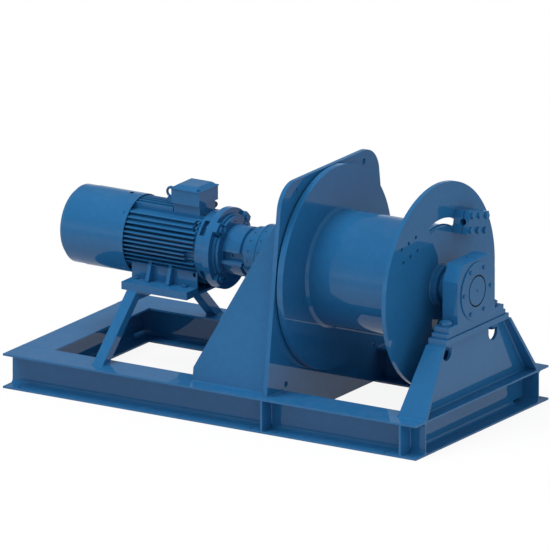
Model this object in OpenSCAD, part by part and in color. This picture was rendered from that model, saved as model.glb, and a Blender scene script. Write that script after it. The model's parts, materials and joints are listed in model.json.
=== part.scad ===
// Wire rope winch on a welded base frame.
// The origin is the middle of the base frame's footprint, on the floor.
// X runs along the drum axis towards the outboard bearing and Z points up.

/* [Base frame] */
// Length of the base frame along the drum axis
base_l = 2050; // [1950:10:2300]
// Width of the base frame
base_w = 1070; // [1040:5:1150]
// Height of the wide-flange beams
beam_h = 152; // [140:1:180]
// Width of the beam flanges
beam_b = 160; // [150:1:180]
// Thickness of the beam webs
web_t = 6; // [5:0.5:10]
// Thickness of the beam flanges
beam_flange_t = 9; // [8:0.5:12]
// Root fillet between beam web and flange
root_r = 15; // [8:1:18]
// Thickness of the stiffeners welded into the outer beam channels
stiffener_t = 10; // [6:1:16]
// Diameter of the anchor holes in the bottom flanges
anchor_d = 22; // [18:1:26]
// Distance from the beam edge to the anchor holes
anchor_edge = 24; // [22:1:30]
// Distance from the left frame end to the first anchor hole
anchor_left = 70; // [50:5:120]
// Distance from the right frame end to the last anchor hole
anchor_right = 40; // [30:5:60]
// Distance between the last two anchor holes
anchor_pair = 120; // [100:5:160]
// Distance between the anchor holes on both sides of the main plate
anchor_plate_pair = 120; // [100:5:160]

/* [Main plate] */
// Thickness of the main plate
plate_t = 20; // [16:1:25]
// Height of the main plate above the beams
plate_h = 893; // [880:1:960]
// Half width of the main plate where it stands on the beams
plate_half_w = 505; // [480:1:515]
// Lean of the side edges of the main plate, in degrees
plate_lean = 8; // [6:0.5:10]
// Radius of the upper corners of the main plate
plate_corner_r = 125; // [80:5:160]
// Diameter of the lifting and lashing holes in the main plate
plate_hole_d = 26; // [20:1:32]
// Distance between the upper two holes
upper_hole_pitch = 540; // [500:5:580]
// Distance of the upper holes below the top edge
upper_hole_drop = 49; // [40:1:80]
// Distance between the lower two holes
lower_hole_pitch = 704; // [660:4:740]
// Height of the lower holes above the beams
lower_hole_rise = 20; // [18:1:60]

/* [Gussets] */
// Thickness of the gussets
gusset_t = 15; // [10:1:20]
// Length of the gussets along the beams
gusset_l = 376; // [300:2:420]
// Height of the gussets at the main plate
gusset_h = 766; // [600:2:780]
// Height of the short upright end of the gussets
gusset_toe_h = 60; // [30:2:90]
// Distance from the main plate's foot edge to the outer face of a gusset
gusset_inset = 42; // [38:1:54]
// Radius of the weld relief in the lower gusset corner
weld_relief_r = 22; // [12:1:30]

/* [Drum] */
// Height of the drum axis above the floor
axis_h = 606; // [602:1:640]
// Outside diameter of the drum barrel
barrel_d = 500; // [490:2:520]
// Wall thickness of the drum barrel
barrel_t = 20; // [16:1:22]
// Rope space between the drum flanges
rope_w = 488; // [440:4:540]
// Outside diameter of the drum flanges
drum_flange_d = 880; // [800:5:890]
// Thickness of the drum flange at the rope clamp
drum_flange_t = 20; // [16:1:25]
// Thickness of the drum flange at the main plate
inner_flange_t = 28; // [20:1:32]
// Gap between the main plate and the drum
plate_gap = 9; // [6:1:14]
// Height of the sloping collar round the barrel at the inner flange
collar_rise = 12; // [6:1:20]
// Width of the collar round the barrel
collar_w = 13; // [8:1:20]
// Radial width of the rope slot in the outer flange
slot_w = 35; // [32:1:45]
// Angle where the rope slot starts, from level at the rear
slot_start = 60; // [50:1:70]
// Angle where the rope slot ends
slot_end = 109; // [100:1:112]

/* [Rope clamp] */
// Length of the rope clamp
clamp_l = 156; // [150:2:170]
// Height of the rope clamp
clamp_h = 100; // [94:2:104]
// Thickness of the clamp block on the flange
clamp_block_t = 46; // [36:1:50]
// Thickness of the clamp plate
clamp_plate_t = 28; // [22:1:32]
// Open gap between clamp block and clamp plate
clamp_gap = 3; // [2:0.5:4]
// Diameter of the rope groove through the clamp
rope_groove_d = 30; // [24:1:34]
// Distance of the clamp middle behind the drum axis
clamp_y = 180; // [170:1:185]
// Distance of the clamp middle above the drum axis
clamp_z = 237; // [232:1:240]
// Fall of the clamp towards the rear, in degrees
clamp_tilt = 13; // [10:1:16]
// Distance between clamp bolts along the clamp
clamp_pitch_l = 58; // [54:1:60]
// Distance between clamp bolts across the clamp
clamp_pitch_h = 62; // [60:1:66]
// Thread diameter of the clamp bolts
clamp_bolt_d = 16; // [12:2:18]
// Distance of the spare hole pattern in front of the drum axis
spare_y = 246; // [235:1:255]
// Height of the spare hole pattern above the drum axis
spare_z = 211; // [205:1:215]

/* [Outboard bearing] */
// Distance from the right frame end to the bearing middle
bearing_end = 69; // [60:1:75]
// Free space between the outer drum flange and the pedestal
drum_clear = 96; // [94:1:110]
// Height of the shaft above the housing foot's underside
housing_h = 137; // [132:1:150]
// Depth of the bearing housing along the shaft
housing_t = 75; // [70:1:84]
// Half width of the housing body
housing_half_w = 149; // [145:1:155]
// Height of the upright sides of the housing above the shaft
housing_side_h = 68; // [50:1:80]
// Height of the flat top of the housing above the shaft
housing_top_h = 137; // [133:1:150]
// Half width of the flat top of the housing
housing_top_half_w = 108; // [100:1:115]
// Half width of the housing foot
foot_half_w = 220; // [216:1:224]
// Thickness of the housing foot
foot_t = 25; // [22:1:30]
// Outside diameter of the roller bearing
bearing_od = 190; // [186:2:194]
// Width of the roller bearing
bearing_w = 60; // [50:1:62]
// Diameter of the drum shaft
shaft_d = 125; // [110:1:128]
// Diameter of the bearing cover
cover_d = 252; // [246:1:260]
// Thickness of the bearing cover rim
cover_t = 5; // [4:0.5:10]
// Bolt circle of the bearing cover
cover_pcd = 210; // [196:1:212]
// Thread diameter of the cover bolts
cover_bolt_d = 10; // [8:1:12]
// Radial width of the shaft seal
seal_w = 6.5; // [3:0.5:8]
// Distance from the shaft to the housing bolts
housing_bolt_y = 185; // [182:1:190]
// Thread diameter of the housing bolts
housing_bolt_d = 30; // [24:2:30]
// Diameter of the rollers in the bearing
roller_d = 14; // [10:1:16]
// Number of rollers in the bearing
roller_count = 16; // [12:1:18]
// Radial thickness of the bearing's inner ring
inner_ring_t = 7; // [6:0.5:8]

/* [Pedestal] */
// Thickness of the shim plate under the housing
shim_t = 20; // [10:1:30]
// Half width of the shim plate
shim_half_w = 236; // [230:1:240]
// Thickness of the pedestal top plate
top_t = 25; // [20:1:30]
// Half width of the pedestal top plate
top_half_w = 252; // [246:1:260]
// Depth of the pedestal top plate along the shaft
top_l = 88; // [86:1:94]
// Thickness of the pedestal plates
ped_t = 15; // [12:1:20]
// Half width of the pedestal at its foot
ped_foot_half_w = 458; // [450:1:470]
// Half width of the pedestal under its top plate
ped_top_half_w = 271; // [264:1:276]
// Depth of the leaning pedestal plates at their foot
ped_foot_l = 138; // [120:1:138]
// Width of the notches under the housing bolts
notch_w = 70; // [60:1:76]
// Depth of the notches under the housing bolts
notch_h = 83; // [70:1:100]

/* [Motor] */
// Height of the motor shaft above its feet
motor_h = 180; // [176:1:184]
// Outer radius over the cooling fins
fin_r = 165; // [160:1:166]
// Outer radius of the stator shell between the fins
shell_r = 135; // [130:1:140]
// Wall thickness of the stator shell
shell_t = 13; // [10:1:15]
// Length of the finned stator housing
stator_l = 388; // [360:4:400]
// Thickness of each cooling fin
fin_t = 5; // [3:0.5:6]
// Distance between neighbouring fins
fin_pitch = 19; // [16:0.5:21]
// Number of side fins on each side
side_fins = 12; // [10:1:12]
// Number of fins on the top and bottom
top_fins = 7; // [5:2:7]
// Height of the top side fin above the shaft
side_fin_top = 126; // [120:1:128]
// Length by which the middle side fins stop short at the drive end
fin_setback = 42; // [20:1:60]
// Length of the motor feet
feet_l = 326; // [320:2:340]
// Distance from the shaft to the outer face of the feet
feet_half_w = 208; // [200:1:215]
// Width of each foot
foot_w = 92; // [84:1:96]
// Thickness of the feet
feet_t = 22; // [16:1:28]
// Distance between foot holes along the shaft
foot_pitch_x = 241; // [235:1:250]
// Distance from the stator's drive end to the nearer foot holes
foot_hole_back = 55; // [48:1:60]
// Distance between foot holes across the shaft
foot_pitch_y = 279; // [270:1:290]
// Thread diameter of the foot bolts
foot_bolt_d = 14; // [12:1:16]
// Length of the drive end shield
shield_l = 54; // [50:1:60]
// Outer radius of the drive end shield
shield_r = 152; // [148:1:156]
// Outer diameter of the motor flange
motor_flange_d = 350; // [342:1:356]
// Thickness of the motor flange
motor_flange_t = 16; // [12:1:20]
// Bolt circle of the motor flange
flange_pcd = 300; // [296:1:304]
// Thread diameter of the flange bolts
flange_bolt_d = 16; // [12:2:16]
// Outer radius of the fan cowl
cowl_r = 170; // [169:1:176]
// Wall thickness of the fan cowl
cowl_t = 3; // [2:0.5:4]
// Length of the fan cowl
cowl_l = 242; // [230:2:260]
// Length by which the cowl reaches over the stator fins
cowl_over = 43; // [35:1:60]
// Length of the cap on the cowl's end
cap_l = 83; // [70:1:83]
// Radius of the end cap
cap_r = 168; // [160:1:168]
// Radius of the motor shaft
motor_shaft_r = 24; // [20:1:28]
// Outer radius of the rotor core
rotor_r = 79; // [74:1:84]
// Air gap between rotor and stator
air_gap = 1; // [0.5:0.1:1.5]
// Length of the rotor and stator cores
core_l = 200; // [180:2:220]
// Outer radius of the cooling fan
fan_r = 142; // [130:1:150]
// Number of fan blades
fan_blades = 9; // [6:1:12]
// Radius of the brake disc
brake_r = 100; // [90:1:110]

/* [Terminal box] */
// Length of the terminal box along the shaft
box_l = 140; // [130:1:150]
// Half width of the terminal box
box_half_w = 75; // [70:1:80]
// Height of the terminal box body
box_h = 61; // [55:1:70]
// Height of the box's underside above the shaft
box_rise = 181; // [178:1:190]
// Half width of the neck under the box
neck_half_w = 62; // [56:1:64]
// Height of the lid
lid_h = 19; // [14:1:24]
// Wall thickness of the box
box_t = 4; // [3:0.5:6]
// Slope of the lid's edges, as a width
lid_bevel = 24; // [16:1:28]
// Distance from the drive end of the stator to the box
box_back = 20; // [14:1:30]
// Radius of the cable entry
cable_r = 9; // [6:0.5:10]
// Length of the cable gland
gland_l = 30; // [24:1:36]
// Distance from the drive end of the stator to the lifting eye
eye_back = 206; // [200:1:215]
// Middle radius of the lifting eye ring
eye_r = 20; // [18:1:22]
// Thickness of the lifting eye ring
eye_t = 11; // [9:0.5:12]

/* [Motor stand] */
// Width of the stand's square tubes along the shaft
stand_w = 50; // [40:1:60]
// Depth of the stand's tubes
stand_d = 40; // [34:1:46]
// Wall thickness of the stand's tubes
stand_t = 5; // [4:0.5:6]
// Thickness of the plate under the motor
motor_plate_t = 12; // [8:1:16]
// Half width of the stand under the motor
stand_top_half_w = 180; // [170:1:190]
// Distance from the motor's drive end to the middle of the stand
stand_back = 274; // [260:2:290]

/* [Bell housing and gear unit] */
// Length of the bell housing
bell_l = 145; // [140:1:158]
// Outer radius of the bell housing barrel
bell_r = 108; // [104:1:112]
// Wall thickness of the bell housing barrel
bell_t = 10; // [8:1:14]
// Outer radius of the ring behind the motor flange
bell_ring_r = 150; // [140:1:160]
// Length of the ring behind the motor flange
bell_ring_l = 26; // [22:1:30]
// Height of the pockets in the sides of the bell housing
side_pocket_h = 39; // [30:1:44]
// Length of the gear unit in front of the main plate
gear_l = 348; // [340:1:356]
// Radius of the gear unit's mounting flange
gear_flange_r = 205; // [200:1:215]
// Thickness of the gear unit's mounting flange
gear_flange_t = 20; // [16:1:25]
// Bolt circle of the gear unit
gear_pcd = 370; // [364:1:376]
// Number of gear unit bolts
gear_bolts = 12; // [8:2:16]
// Thread diameter of the gear unit bolts
gear_bolt_d = 16; // [12:2:16]
// Radius of the coupling
coupling_r = 70; // [60:1:80]
// Radius of the gear input shaft
input_r = 28; // [24:1:30]
// Outer radius of the fixed carrier nose that the drum turns on
nose_r = 150; // [148:1:154]
// Tooth module of the gear stage
gear_m = 5; // [4.5:0.1:5]
// Teeth of the sun gear
sun_teeth = 18; // [12:6:18]
// Teeth of each planet gear
planet_teeth = 30; // [24:6:30]
// Width of the gear teeth
gear_w = 66; // [50:1:80]
// Diameter of the planet pins
pin_d = 50; // [40:1:50]

/* [Fits] */
// Radial clearance of a running fit
run_clear = 0.05; // [0.02:0.01:0.09]
// Radial clearance of a fixed fit
fixed_clear = 0.02; // [0.01:0.01:0.05]
// Backlash between gear teeth
backlash = 0.5; // [0.4:0.05:0.8]

/* [Hidden] */
$fn = 72;
steel_blue = [0.19, 0.40, 0.60];
rubber_black = [0.12, 0.11, 0.10];
bare_steel = [0.62, 0.63, 0.65];
copper = [0.72, 0.42, 0.22];

// Overshoot of cuts, so that no skin is left
cut = 1;

// Places across the frame
beam_y = (base_w - beam_b) / 2;
inner_y = base_w / 2 - beam_b;
web_face_y = beam_y - web_t / 2;
cross_x = (base_l - beam_b) / 2;

// Places along the drum axis, counted from the right frame end
bearing_x = base_l / 2 - bearing_end;
outer_face_x = bearing_x - top_l / 2 - drum_clear;
outer_flange_x = outer_face_x - drum_flange_t;
inner_flange_x = outer_flange_x - rope_w;
drum_x = inner_flange_x - inner_flange_t;
plate_right_x = drum_x - plate_gap;
plate_x = plate_right_x - plate_t;
gear_x = plate_x - gear_l;
bell_x = gear_x - bell_l;
motor_flange_x = bell_x - motor_flange_t;
stator_right_x = motor_flange_x - shield_l;
stator_x = stator_right_x - stator_l;
cowl_x = stator_x + cowl_over - cowl_l;
cap_x = cowl_x - cap_l;

// Heights
foot_z = axis_h - housing_h;
shim_z = foot_z - shim_t;
top_z = shim_z - top_t;
feet_z = axis_h - motor_h;
plate_top_z = beam_h + plate_h;

// Drum
barrel_r = barrel_d / 2;
barrel_bore_r = barrel_r - barrel_t;
drum_flange_r = drum_flange_d / 2;
shaft_r = shaft_d / 2;

// Motor cores lie midway along the stator
core_mid_x = stator_x + stator_l / 2;
core_x = core_mid_x - core_l / 2;
shell_bore_r = shell_r - shell_t;

// Main plate
corner_steps = 16;
gear_bolt_a = 360 / gear_bolts / 2;

// Gear stage
ring_teeth = sun_teeth + 2 * planet_teeth;
planet_reach = gear_m * (sun_teeth + planet_teeth) / 2;
nose_reach = 22;
collar_tip = 1;
gear_side_gap = 2;
pin_reach = 4;
nose_end_x = inner_flange_x + nose_reach;
gear_start_x = nose_end_x + gear_side_gap;
pressure_angle = 20;
dedendum = 1.25 * gear_m;
flank_steps = 5;
planet_angles = [90, 210, 330];

// Outboard bearing
housing_right_x = bearing_x + housing_t / 2;
cover_x = housing_right_x + cover_t;
roller_gap = 0.25;
roller_path_r = shaft_r + inner_ring_t + roller_gap + roller_d / 2;
race_r = roller_path_r + roller_d / 2 + roller_gap;
roller_side_gap = 6;
roller_l = bearing_w - 2 * roller_side_gap;
cover_bolt_l = 25;
cover_bolt_count = 6;
seal_sunk = 2;
hub_rise = 22;
hub_r = shaft_r + hub_rise;
hub_l = 30;
shaft_flange_r = 130;
hub_flange_t = 26;
centre_hole_r = 4;
centre_hole_l = 12;
clamp_plate_x = outer_face_x + clamp_block_t + clamp_gap;

// Motor stand
stand_x = stator_right_x - stand_back;
stand_top_z = feet_z - motor_plate_t;
leg_lean = atan((beam_y - stand_top_half_w) / (stand_top_z - beam_h));
leg_level_w = stand_d / cos(leg_lean);

// Motor details
band_rise = 15;
band_r = shell_r + band_rise;
band_w = 54;
setback_fins = 3;
setback_top = 9.1;
rib_t = 16;
rib_toe = 6;
rib_toe_y = 165;
foot_rib_places = [0.29, 0.71];
foot_wall_t = 8;
foot_wall_top = 50;
rib_root_y = 94.5;
rib_root_z = 90.45;
pad_back = 21;
pad_x = stator_x + pad_back;
pad_l = 26;
pad_w = 36;
pad_root = 4;
pad_end_r = sqrt(pow(cowl_r - cowl_t, 2) - pow(pad_w / 2, 2)) - fixed_clear;
screw_r = 3;
screw_l = 14;
screw_head_h = 3;
winding_l = 36;
winding_gap = 8;
shield_rim_t = 18;
bearing_seat_r = 2 * motor_shaft_r;
shield_seat_t = 4;
shield_lip_t = 6;
nut_pocket_l = 40;
nut_pocket_w = 73;
nut_pocket_r = 128;
ear_t = 8;
ear_gap = 14;
shield_bolt_d = 8;
shield_head_gap = 0.3;
shield_bolt_r = shell_r + shield_head_gap + head_r(shield_bolt_d);
shield_thread_l = 13;
fan_end_gap = 15;
fan_x = cowl_x + fan_end_gap;
fan_l = 76;
fan_disc_t = 5;
blade_t = 4;
fan_hub_t = 14;
fan_hub_r = motor_shaft_r + fan_hub_t;
shaft_end_reach = 5;
magnet_l = 44;
magnet_rim = 5;
brake_x = stator_x - shield_rim_t - magnet_l;
disc_t = 13;
cap_round = 9;
cap_steps = 8;
cap_rim = 14;
cap_rim_l = 17;
cap_rim_round = 6;
cap_slots = 24;
cap_slot_w = 7;
cap_slot_r = 48;
cap_slot_l = 86;

// Terminal box and lifting eye
box_x = stator_right_x - box_back - box_l;
box_z = axis_h + box_rise;
lid_z = box_z + box_h;
neck_seat_t = 4;
neck_rise = shell_r + neck_seat_t;
neck_inset = 6;
neck_clear = 5;
neck_block_h = 26;
post_w = 13;
lip_h = 4;
lip_out = 3;
screw_well_rise = 2;
screw_well_r = post_w / 2 + screw_well_rise;
gland_back = 17;
gland_rise = 153;
gland_x = box_x + box_l - neck_inset - gland_back;
gland_z = axis_h + gland_rise;
gland_wall = 4;
gland_nut_rise = 8;
eye_x = stator_right_x - eye_back;
eye_seat_r = 17;
eye_seat_rise = 4;
eye_foot_h = 12;
eye_sunk = 2;
eye_seat_z = axis_h + fin_r + eye_seat_rise;

// Bell housing and gear unit
bell_barrel_x = bell_x + motor_flange_t + bell_ring_l;
bell_step = 11;
bell_neck_r = bell_r - bell_step;
bell_edge = 2;
neck_l = 16;
neck_fall = 4;
ring_step = 8;
lug_w = 46;
lug_l = 18;
lug_root_r = 131;
lug_side_gap = 8;
face_pad_w = 34;
face_pad_t = 4;
face_holes = 8;
face_hole_r = 4;
face_hole_l = 12;
face_pcd_r = 122;
bell_bar_rise = 8;
bell_bar_h = 14;
side_pocket_drop = 21;
side_pocket_wall = 4;
side_backing_t = 10;
side_hole_r = 6.5;
side_hole_l = 7;
coupling_side_gap = 5;
coupling_clear = 7;
coupling_x = bell_barrel_x + coupling_side_gap;
coupling_l = gear_x - neck_l - bell_t - coupling_side_gap - coupling_x;
shaft_end_gap = 4;
coupling_mid_x = coupling_x + coupling_l / 2;
gear_wall = 24;
gear_bore_r = 80;
// Radius and length of each step of the gear unit, towards the main plate
gear_steps = [[104, 12], [116, 39], [125, 9], [133, 11], [130, 2], [133, 43], [150, 90],
    [165, 122]];

// A round bar along X, at the drum axis height unless lifted
module xbar(x0, x1, r, y = 0, z = 0) {
    translate([x0, y, axis_h + z])
        rotate([0, 90, 0])
            cylinder(h = x1 - x0, r = r);
}

// A round bar along Y
module ybar(y0, y1, r, x, z) {
    translate([x, y1, z])
        rotate([90, 0, 0])
            cylinder(h = y1 - y0, r = r);
}

// A ring along X
module xring(x0, x1, r, bore) {
    difference() {
        xbar(x0, x1, r);
        xbar(x0 - cut, x1 + cut, bore);
    }
}

// A turned shape: points are pairs of radius and X
module turned(points) {
    translate([0, 0, axis_h])
        rotate([0, 90, 0])
            rotate_extrude()
                polygon(points);
}

// A flat shape drawn in Y and height above the drum axis, extruded along X
module across(x0, l) {
    translate([x0, 0, axis_h])
        rotate([90, 0, 90])
            linear_extrude(l)
                children();
}

// A flat shape drawn in Y and height above the floor, extruded along X
module across_floor(x0, l) {
    translate([x0, 0, 0])
        rotate([90, 0, 90])
            linear_extrude(l)
                children();
}

// A flat shape drawn in X and height above the floor, extruded along Y
module along_floor(y0, l) {
    translate([0, y0 + l, 0])
        rotate([90, 0, 0])
            linear_extrude(l)
                children();
}

// A hexagon bolt along X, seated at x, its shank reaching right, or left if leftward is 1
module xbolt(x, d, shank, y = 0, z = 0, leftward = 0) {
    translate([x, y, axis_h + z])
        rotate([0, leftward == 0 ? 90 : -90, 0]) {
            translate([0, 0, -head_h(d)])
                cylinder(h = head_h(d), r = head_r(d), $fn = 6);
            translate([0, 0, -head_h(d) / 2])
                cylinder(h = shank + head_h(d) / 2, r = d / 2);
        }
}

// A hexagon bolt hanging down from z
module zbolt(x, y, z, d, shank) {
    translate([x, y, z]) {
        cylinder(h = head_h(d), r = head_r(d), $fn = 6);
        translate([0, 0, -shank])
            cylinder(h = shank + head_h(d) / 2, r = d / 2);
    }
}

// Standard proportions of a hexagon bolt of thread diameter d
function head_h(d) = 0.62 * d;
function head_r(d) = 0.9 * d;
function nut_h(d) = 0.8 * d;
function thread_end(d) = 1.2 * d;

// Middle angles of n things spread evenly round the axis
function spread(n, start = 0) = [for (i = [0 : n - 1]) start + i * 360 / n];

// Wide-flange section centred on the origin
module beam_section() {
    for (s = [-1, 1])
        translate([-beam_b / 2, s * (beam_h - beam_flange_t) / 2 - beam_flange_t / 2])
            square([beam_b, beam_flange_t]);
    translate([-web_t / 2, -beam_h / 2])
        square([web_t, beam_h]);
    for (mx = [0, 1], my = [0, 1])
        mirror([mx, 0])
            mirror([0, my])
                translate([web_t / 2, beam_h / 2 - beam_flange_t - root_r])
                    difference() {
                        translate([-web_t / 4, 0])
                            square([root_r + web_t / 4, root_r + beam_flange_t / 2]);
                        translate([root_r, 0])
                            circle(r = root_r);
                    }
}

// A long beam with its anchor holes on the outer side; side is -1 at the front
module long_beam(side) {
    anchors = [-base_l / 2 + anchor_left,
        plate_x + plate_t / 2 - anchor_plate_pair / 2,
        plate_x + plate_t / 2 + anchor_plate_pair / 2,
        base_l / 2 - anchor_right - anchor_pair,
        base_l / 2 - anchor_right];
    color(steel_blue)
        difference() {
            translate([-base_l / 2, side * beam_y, beam_h / 2])
                rotate([90, 0, 90])
                    linear_extrude(base_l)
                        beam_section();
            for (x = anchors)
                translate([x, side * (base_w / 2 - anchor_edge), -cut])
                    cylinder(h = beam_flange_t + 2 * cut, r = anchor_d / 2);
        }
}

// A cross beam between the long beams, its web coped to reach their webs
module cross_beam(x) {
    coped_h = beam_h - 2 * (beam_flange_t + root_r);
    color(steel_blue)
        union() {
            translate([x, inner_y, beam_h / 2])
                rotate([90, 0, 0])
                    linear_extrude(2 * inner_y)
                        beam_section();
            translate([x - web_t / 2, -web_face_y, (beam_h - coped_h) / 2])
                cube([web_t, 2 * web_face_y, coped_h]);
        }
}

// Stiffener outline in the outer beam channel, clear of the root fillets
module stiffener_outline() {
    low = beam_flange_t;
    high = beam_h - beam_flange_t;
    foot_y = beam_y + web_t / 2;
    polygon([[foot_y + root_r, low], [base_w / 2, low], [base_w / 2, high],
        [foot_y + root_r, high], [foot_y, high - root_r], [foot_y, low + root_r]]);
}

module web_stiffeners() {
    color(steel_blue)
        for (x = [plate_x + plate_t / 2, cross_x], side = [0, 1])
            mirror([0, side, 0])
                across_floor(x - stiffener_t / 2, stiffener_t)
                    stiffener_outline();
}

// Half of the main plate outline, from its foot to the top
function side_y(z) = plate_half_w - (z - beam_h) * tan(plate_lean);
function corner_z() = plate_top_z - plate_corner_r;
function corner_y() = side_y(corner_z()) - plate_corner_r / cos(plate_lean);
function plate_half() = concat(
    [[web_face_y - root_r, beam_flange_t],
        [web_face_y, beam_flange_t + root_r],
        [web_face_y, beam_h - beam_flange_t - root_r],
        [web_face_y - root_r, beam_h - beam_flange_t],
        [inner_y, beam_h - beam_flange_t],
        [inner_y, beam_h],
        [plate_half_w, beam_h]],
    [for (i = [0 : corner_steps])
        let (a = plate_lean + i * (90 - plate_lean) / corner_steps)
            [corner_y() + plate_corner_r * cos(a), corner_z() + plate_corner_r * sin(a)]]);

function mirrored(points) = [for (i = [len(points) - 1 : -1 : 0]) [-points[i][0], points[i][1]]];

module main_plate() {
    color(steel_blue)
        difference() {
            across_floor(plate_x, plate_t)
                polygon(concat(plate_half(), mirrored(plate_half())));
            xbar(plate_x - cut, plate_right_x + cut, nose_r + fixed_clear);
            for (s = [-1, 1]) {
                xbar(plate_x - cut, plate_right_x + cut, plate_hole_d / 2,
                    s * upper_hole_pitch / 2, plate_top_z - upper_hole_drop - axis_h);
                xbar(plate_x - cut, plate_right_x + cut, plate_hole_d / 2,
                    s * lower_hole_pitch / 2, beam_h + lower_hole_rise - axis_h);
            }
            for (a = spread(gear_bolts, gear_bolt_a))
                xbar(plate_x - cut, plate_right_x + cut, gear_bolt_d / 2 + fixed_clear,
                    gear_pcd / 2 * cos(a), gear_pcd / 2 * sin(a));
        }
}

// A gusset leaning like the main plate's edge; side is 1 at the front
module gusset(side) {
    foot_y = plate_half_w - gusset_inset;
    wall = gusset_t / cos(plate_lean);
    lean_y = gusset_h * tan(plate_lean);
    color(steel_blue)
        mirror([0, side, 0])
            difference() {
                intersection() {
                    along_floor(0, base_w / 2)
                        polygon([[plate_x - gusset_l, beam_h], [plate_x, beam_h],
                            [plate_x, beam_h + gusset_h],
                            [plate_x - gusset_l, beam_h + gusset_toe_h]]);
                    across_floor(plate_x - gusset_l, gusset_l)
                        polygon([[foot_y, beam_h], [foot_y - lean_y, beam_h + gusset_h],
                            [foot_y - lean_y - wall, beam_h + gusset_h],
                            [foot_y - wall, beam_h]]);
                }
                translate([plate_x, 0, beam_h])
                    rotate([-90, 0, 0])
                        cylinder(h = base_w / 2, r = weld_relief_r);
            }
}

// Wall of the pedestal's leaning plates, measured level
function ped_wall() = ped_t / cos(ped_lean());
function ped_lean() = atan((ped_foot_half_w - ped_top_half_w) / (top_z - beam_h));

module pedestal_web() {
    foot_half = ped_foot_half_w - ped_wall();
    head_half = ped_top_half_w - ped_wall();
    color(steel_blue)
        difference() {
            across_floor(bearing_x - ped_t / 2, ped_t)
                polygon([[-foot_half, beam_h], [foot_half, beam_h], [head_half, top_z],
                    [-head_half, top_z]]);
            for (s = [-1, 1]) {
                translate([bearing_x - ped_t, s * housing_bolt_y - notch_w / 2,
                    top_z - notch_h + notch_w / 2])
                    cube([2 * ped_t, notch_w, notch_h]);
                xbar(bearing_x - ped_t, bearing_x + ped_t, notch_w / 2, s * housing_bolt_y,
                    top_z - notch_h + notch_w / 2 - axis_h);
            }
        }
}

// A leaning pedestal plate; side is 1 at the front
module pedestal_side(side) {
    color(steel_blue)
        mirror([0, side, 0])
            intersection() {
                along_floor(0, base_w / 2)
                    polygon([[bearing_x - ped_foot_l / 2, beam_h],
                        [bearing_x + ped_foot_l / 2, beam_h],
                        [bearing_x + top_l / 2, top_z], [bearing_x - top_l / 2, top_z]]);
                across_floor(bearing_x - ped_foot_l / 2, ped_foot_l)
                    polygon([[ped_foot_half_w, beam_h], [ped_top_half_w, top_z],
                        [ped_top_half_w - ped_wall(), top_z],
                        [ped_foot_half_w - ped_wall(), beam_h]]);
            }
}

// Holes for the housing bolts through a plate of the pedestal
module housing_bolt_holes() {
    for (s = [-1, 1])
        translate([bearing_x, s * housing_bolt_y, top_z - cut])
            cylinder(h = axis_h - top_z, r = housing_bolt_d / 2 + fixed_clear);
}

module pedestal_top_plate() {
    color(steel_blue)
        difference() {
            translate([bearing_x - top_l / 2, -top_half_w, top_z])
                cube([top_l, 2 * top_half_w, top_t]);
            housing_bolt_holes();
        }
}

module shim_plate() {
    color(steel_blue)
        difference() {
            translate([bearing_x - housing_t / 2, -shim_half_w, shim_z])
                cube([housing_t, 2 * shim_half_w, shim_t]);
            housing_bolt_holes();
        }
}

module bearing_housing() {
    half = [[foot_half_w, -housing_h], [foot_half_w, foot_t - housing_h],
        [housing_half_w, foot_t - housing_h], [housing_half_w, housing_side_h],
        [housing_top_half_w, housing_top_h]];
    color(steel_blue)
        difference() {
            across(bearing_x - housing_t / 2, housing_t)
                polygon(concat(half, mirrored(half)));
            xbar(bearing_x - housing_t, bearing_x + housing_t, bearing_od / 2 + fixed_clear);
            housing_bolt_holes();
            for (a = spread(cover_bolt_count))
                xbar(bearing_x, bearing_x + housing_t, cover_bolt_d / 2 + fixed_clear,
                    cover_pcd / 2 * cos(a), cover_pcd / 2 * sin(a));
        }
}

module bearing_outer_ring() {
    color(bare_steel)
        xring(bearing_x - bearing_w / 2, bearing_x + bearing_w / 2, bearing_od / 2, race_r);
}

module bearing_inner_ring() {
    color(bare_steel) {
        xring(bearing_x - bearing_w / 2, bearing_x + bearing_w / 2, shaft_r + inner_ring_t,
            shaft_r + fixed_clear);
        for (a = spread(roller_count))
            xbar(bearing_x - roller_l / 2, bearing_x + roller_l / 2, roller_d / 2,
                roller_path_r * cos(a), roller_path_r * sin(a));
    }
}

module bearing_covers() {
    spigot_r = bearing_od / 2 - fixed_clear;
    color(steel_blue) {
        difference() {
            turned([[shaft_r + seal_w, bearing_x + bearing_w / 2],
                [spigot_r, bearing_x + bearing_w / 2], [spigot_r, housing_right_x],
                [cover_d / 2, housing_right_x], [cover_d / 2, cover_x],
                [shaft_r + seal_w, cover_x]]);
            for (a = spread(cover_bolt_count))
                xbar(housing_right_x - cut, cover_x + cut, cover_bolt_d / 2 + fixed_clear,
                    cover_pcd / 2 * cos(a), cover_pcd / 2 * sin(a));
        }
        xring(bearing_x - housing_t / 2, bearing_x - bearing_w / 2, spigot_r,
            shaft_r + seal_w / 2);
    }
}

module cover_bolts() {
    color(steel_blue)
        for (a = spread(cover_bolt_count))
            xbolt(cover_x, cover_bolt_d, cover_bolt_l, cover_pcd / 2 * cos(a),
                cover_pcd / 2 * sin(a), 1);
}

module housing_bolts() {
    color(steel_blue)
        for (s = [-1, 1]) {
            zbolt(bearing_x, s * housing_bolt_y, foot_z + foot_t, housing_bolt_d,
                foot_t + shim_t + top_t + thread_end(housing_bolt_d));
            translate([bearing_x, s * housing_bolt_y, top_z - nut_h(housing_bolt_d)])
                cylinder(h = nut_h(housing_bolt_d), r = head_r(housing_bolt_d), $fn = 6);
        }
}

module shaft_seal() {
    color(rubber_black)
        xring(bearing_x + bearing_w / 2, cover_x - seal_sunk, shaft_r + seal_w - fixed_clear,
            shaft_r + run_clear);
}

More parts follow.
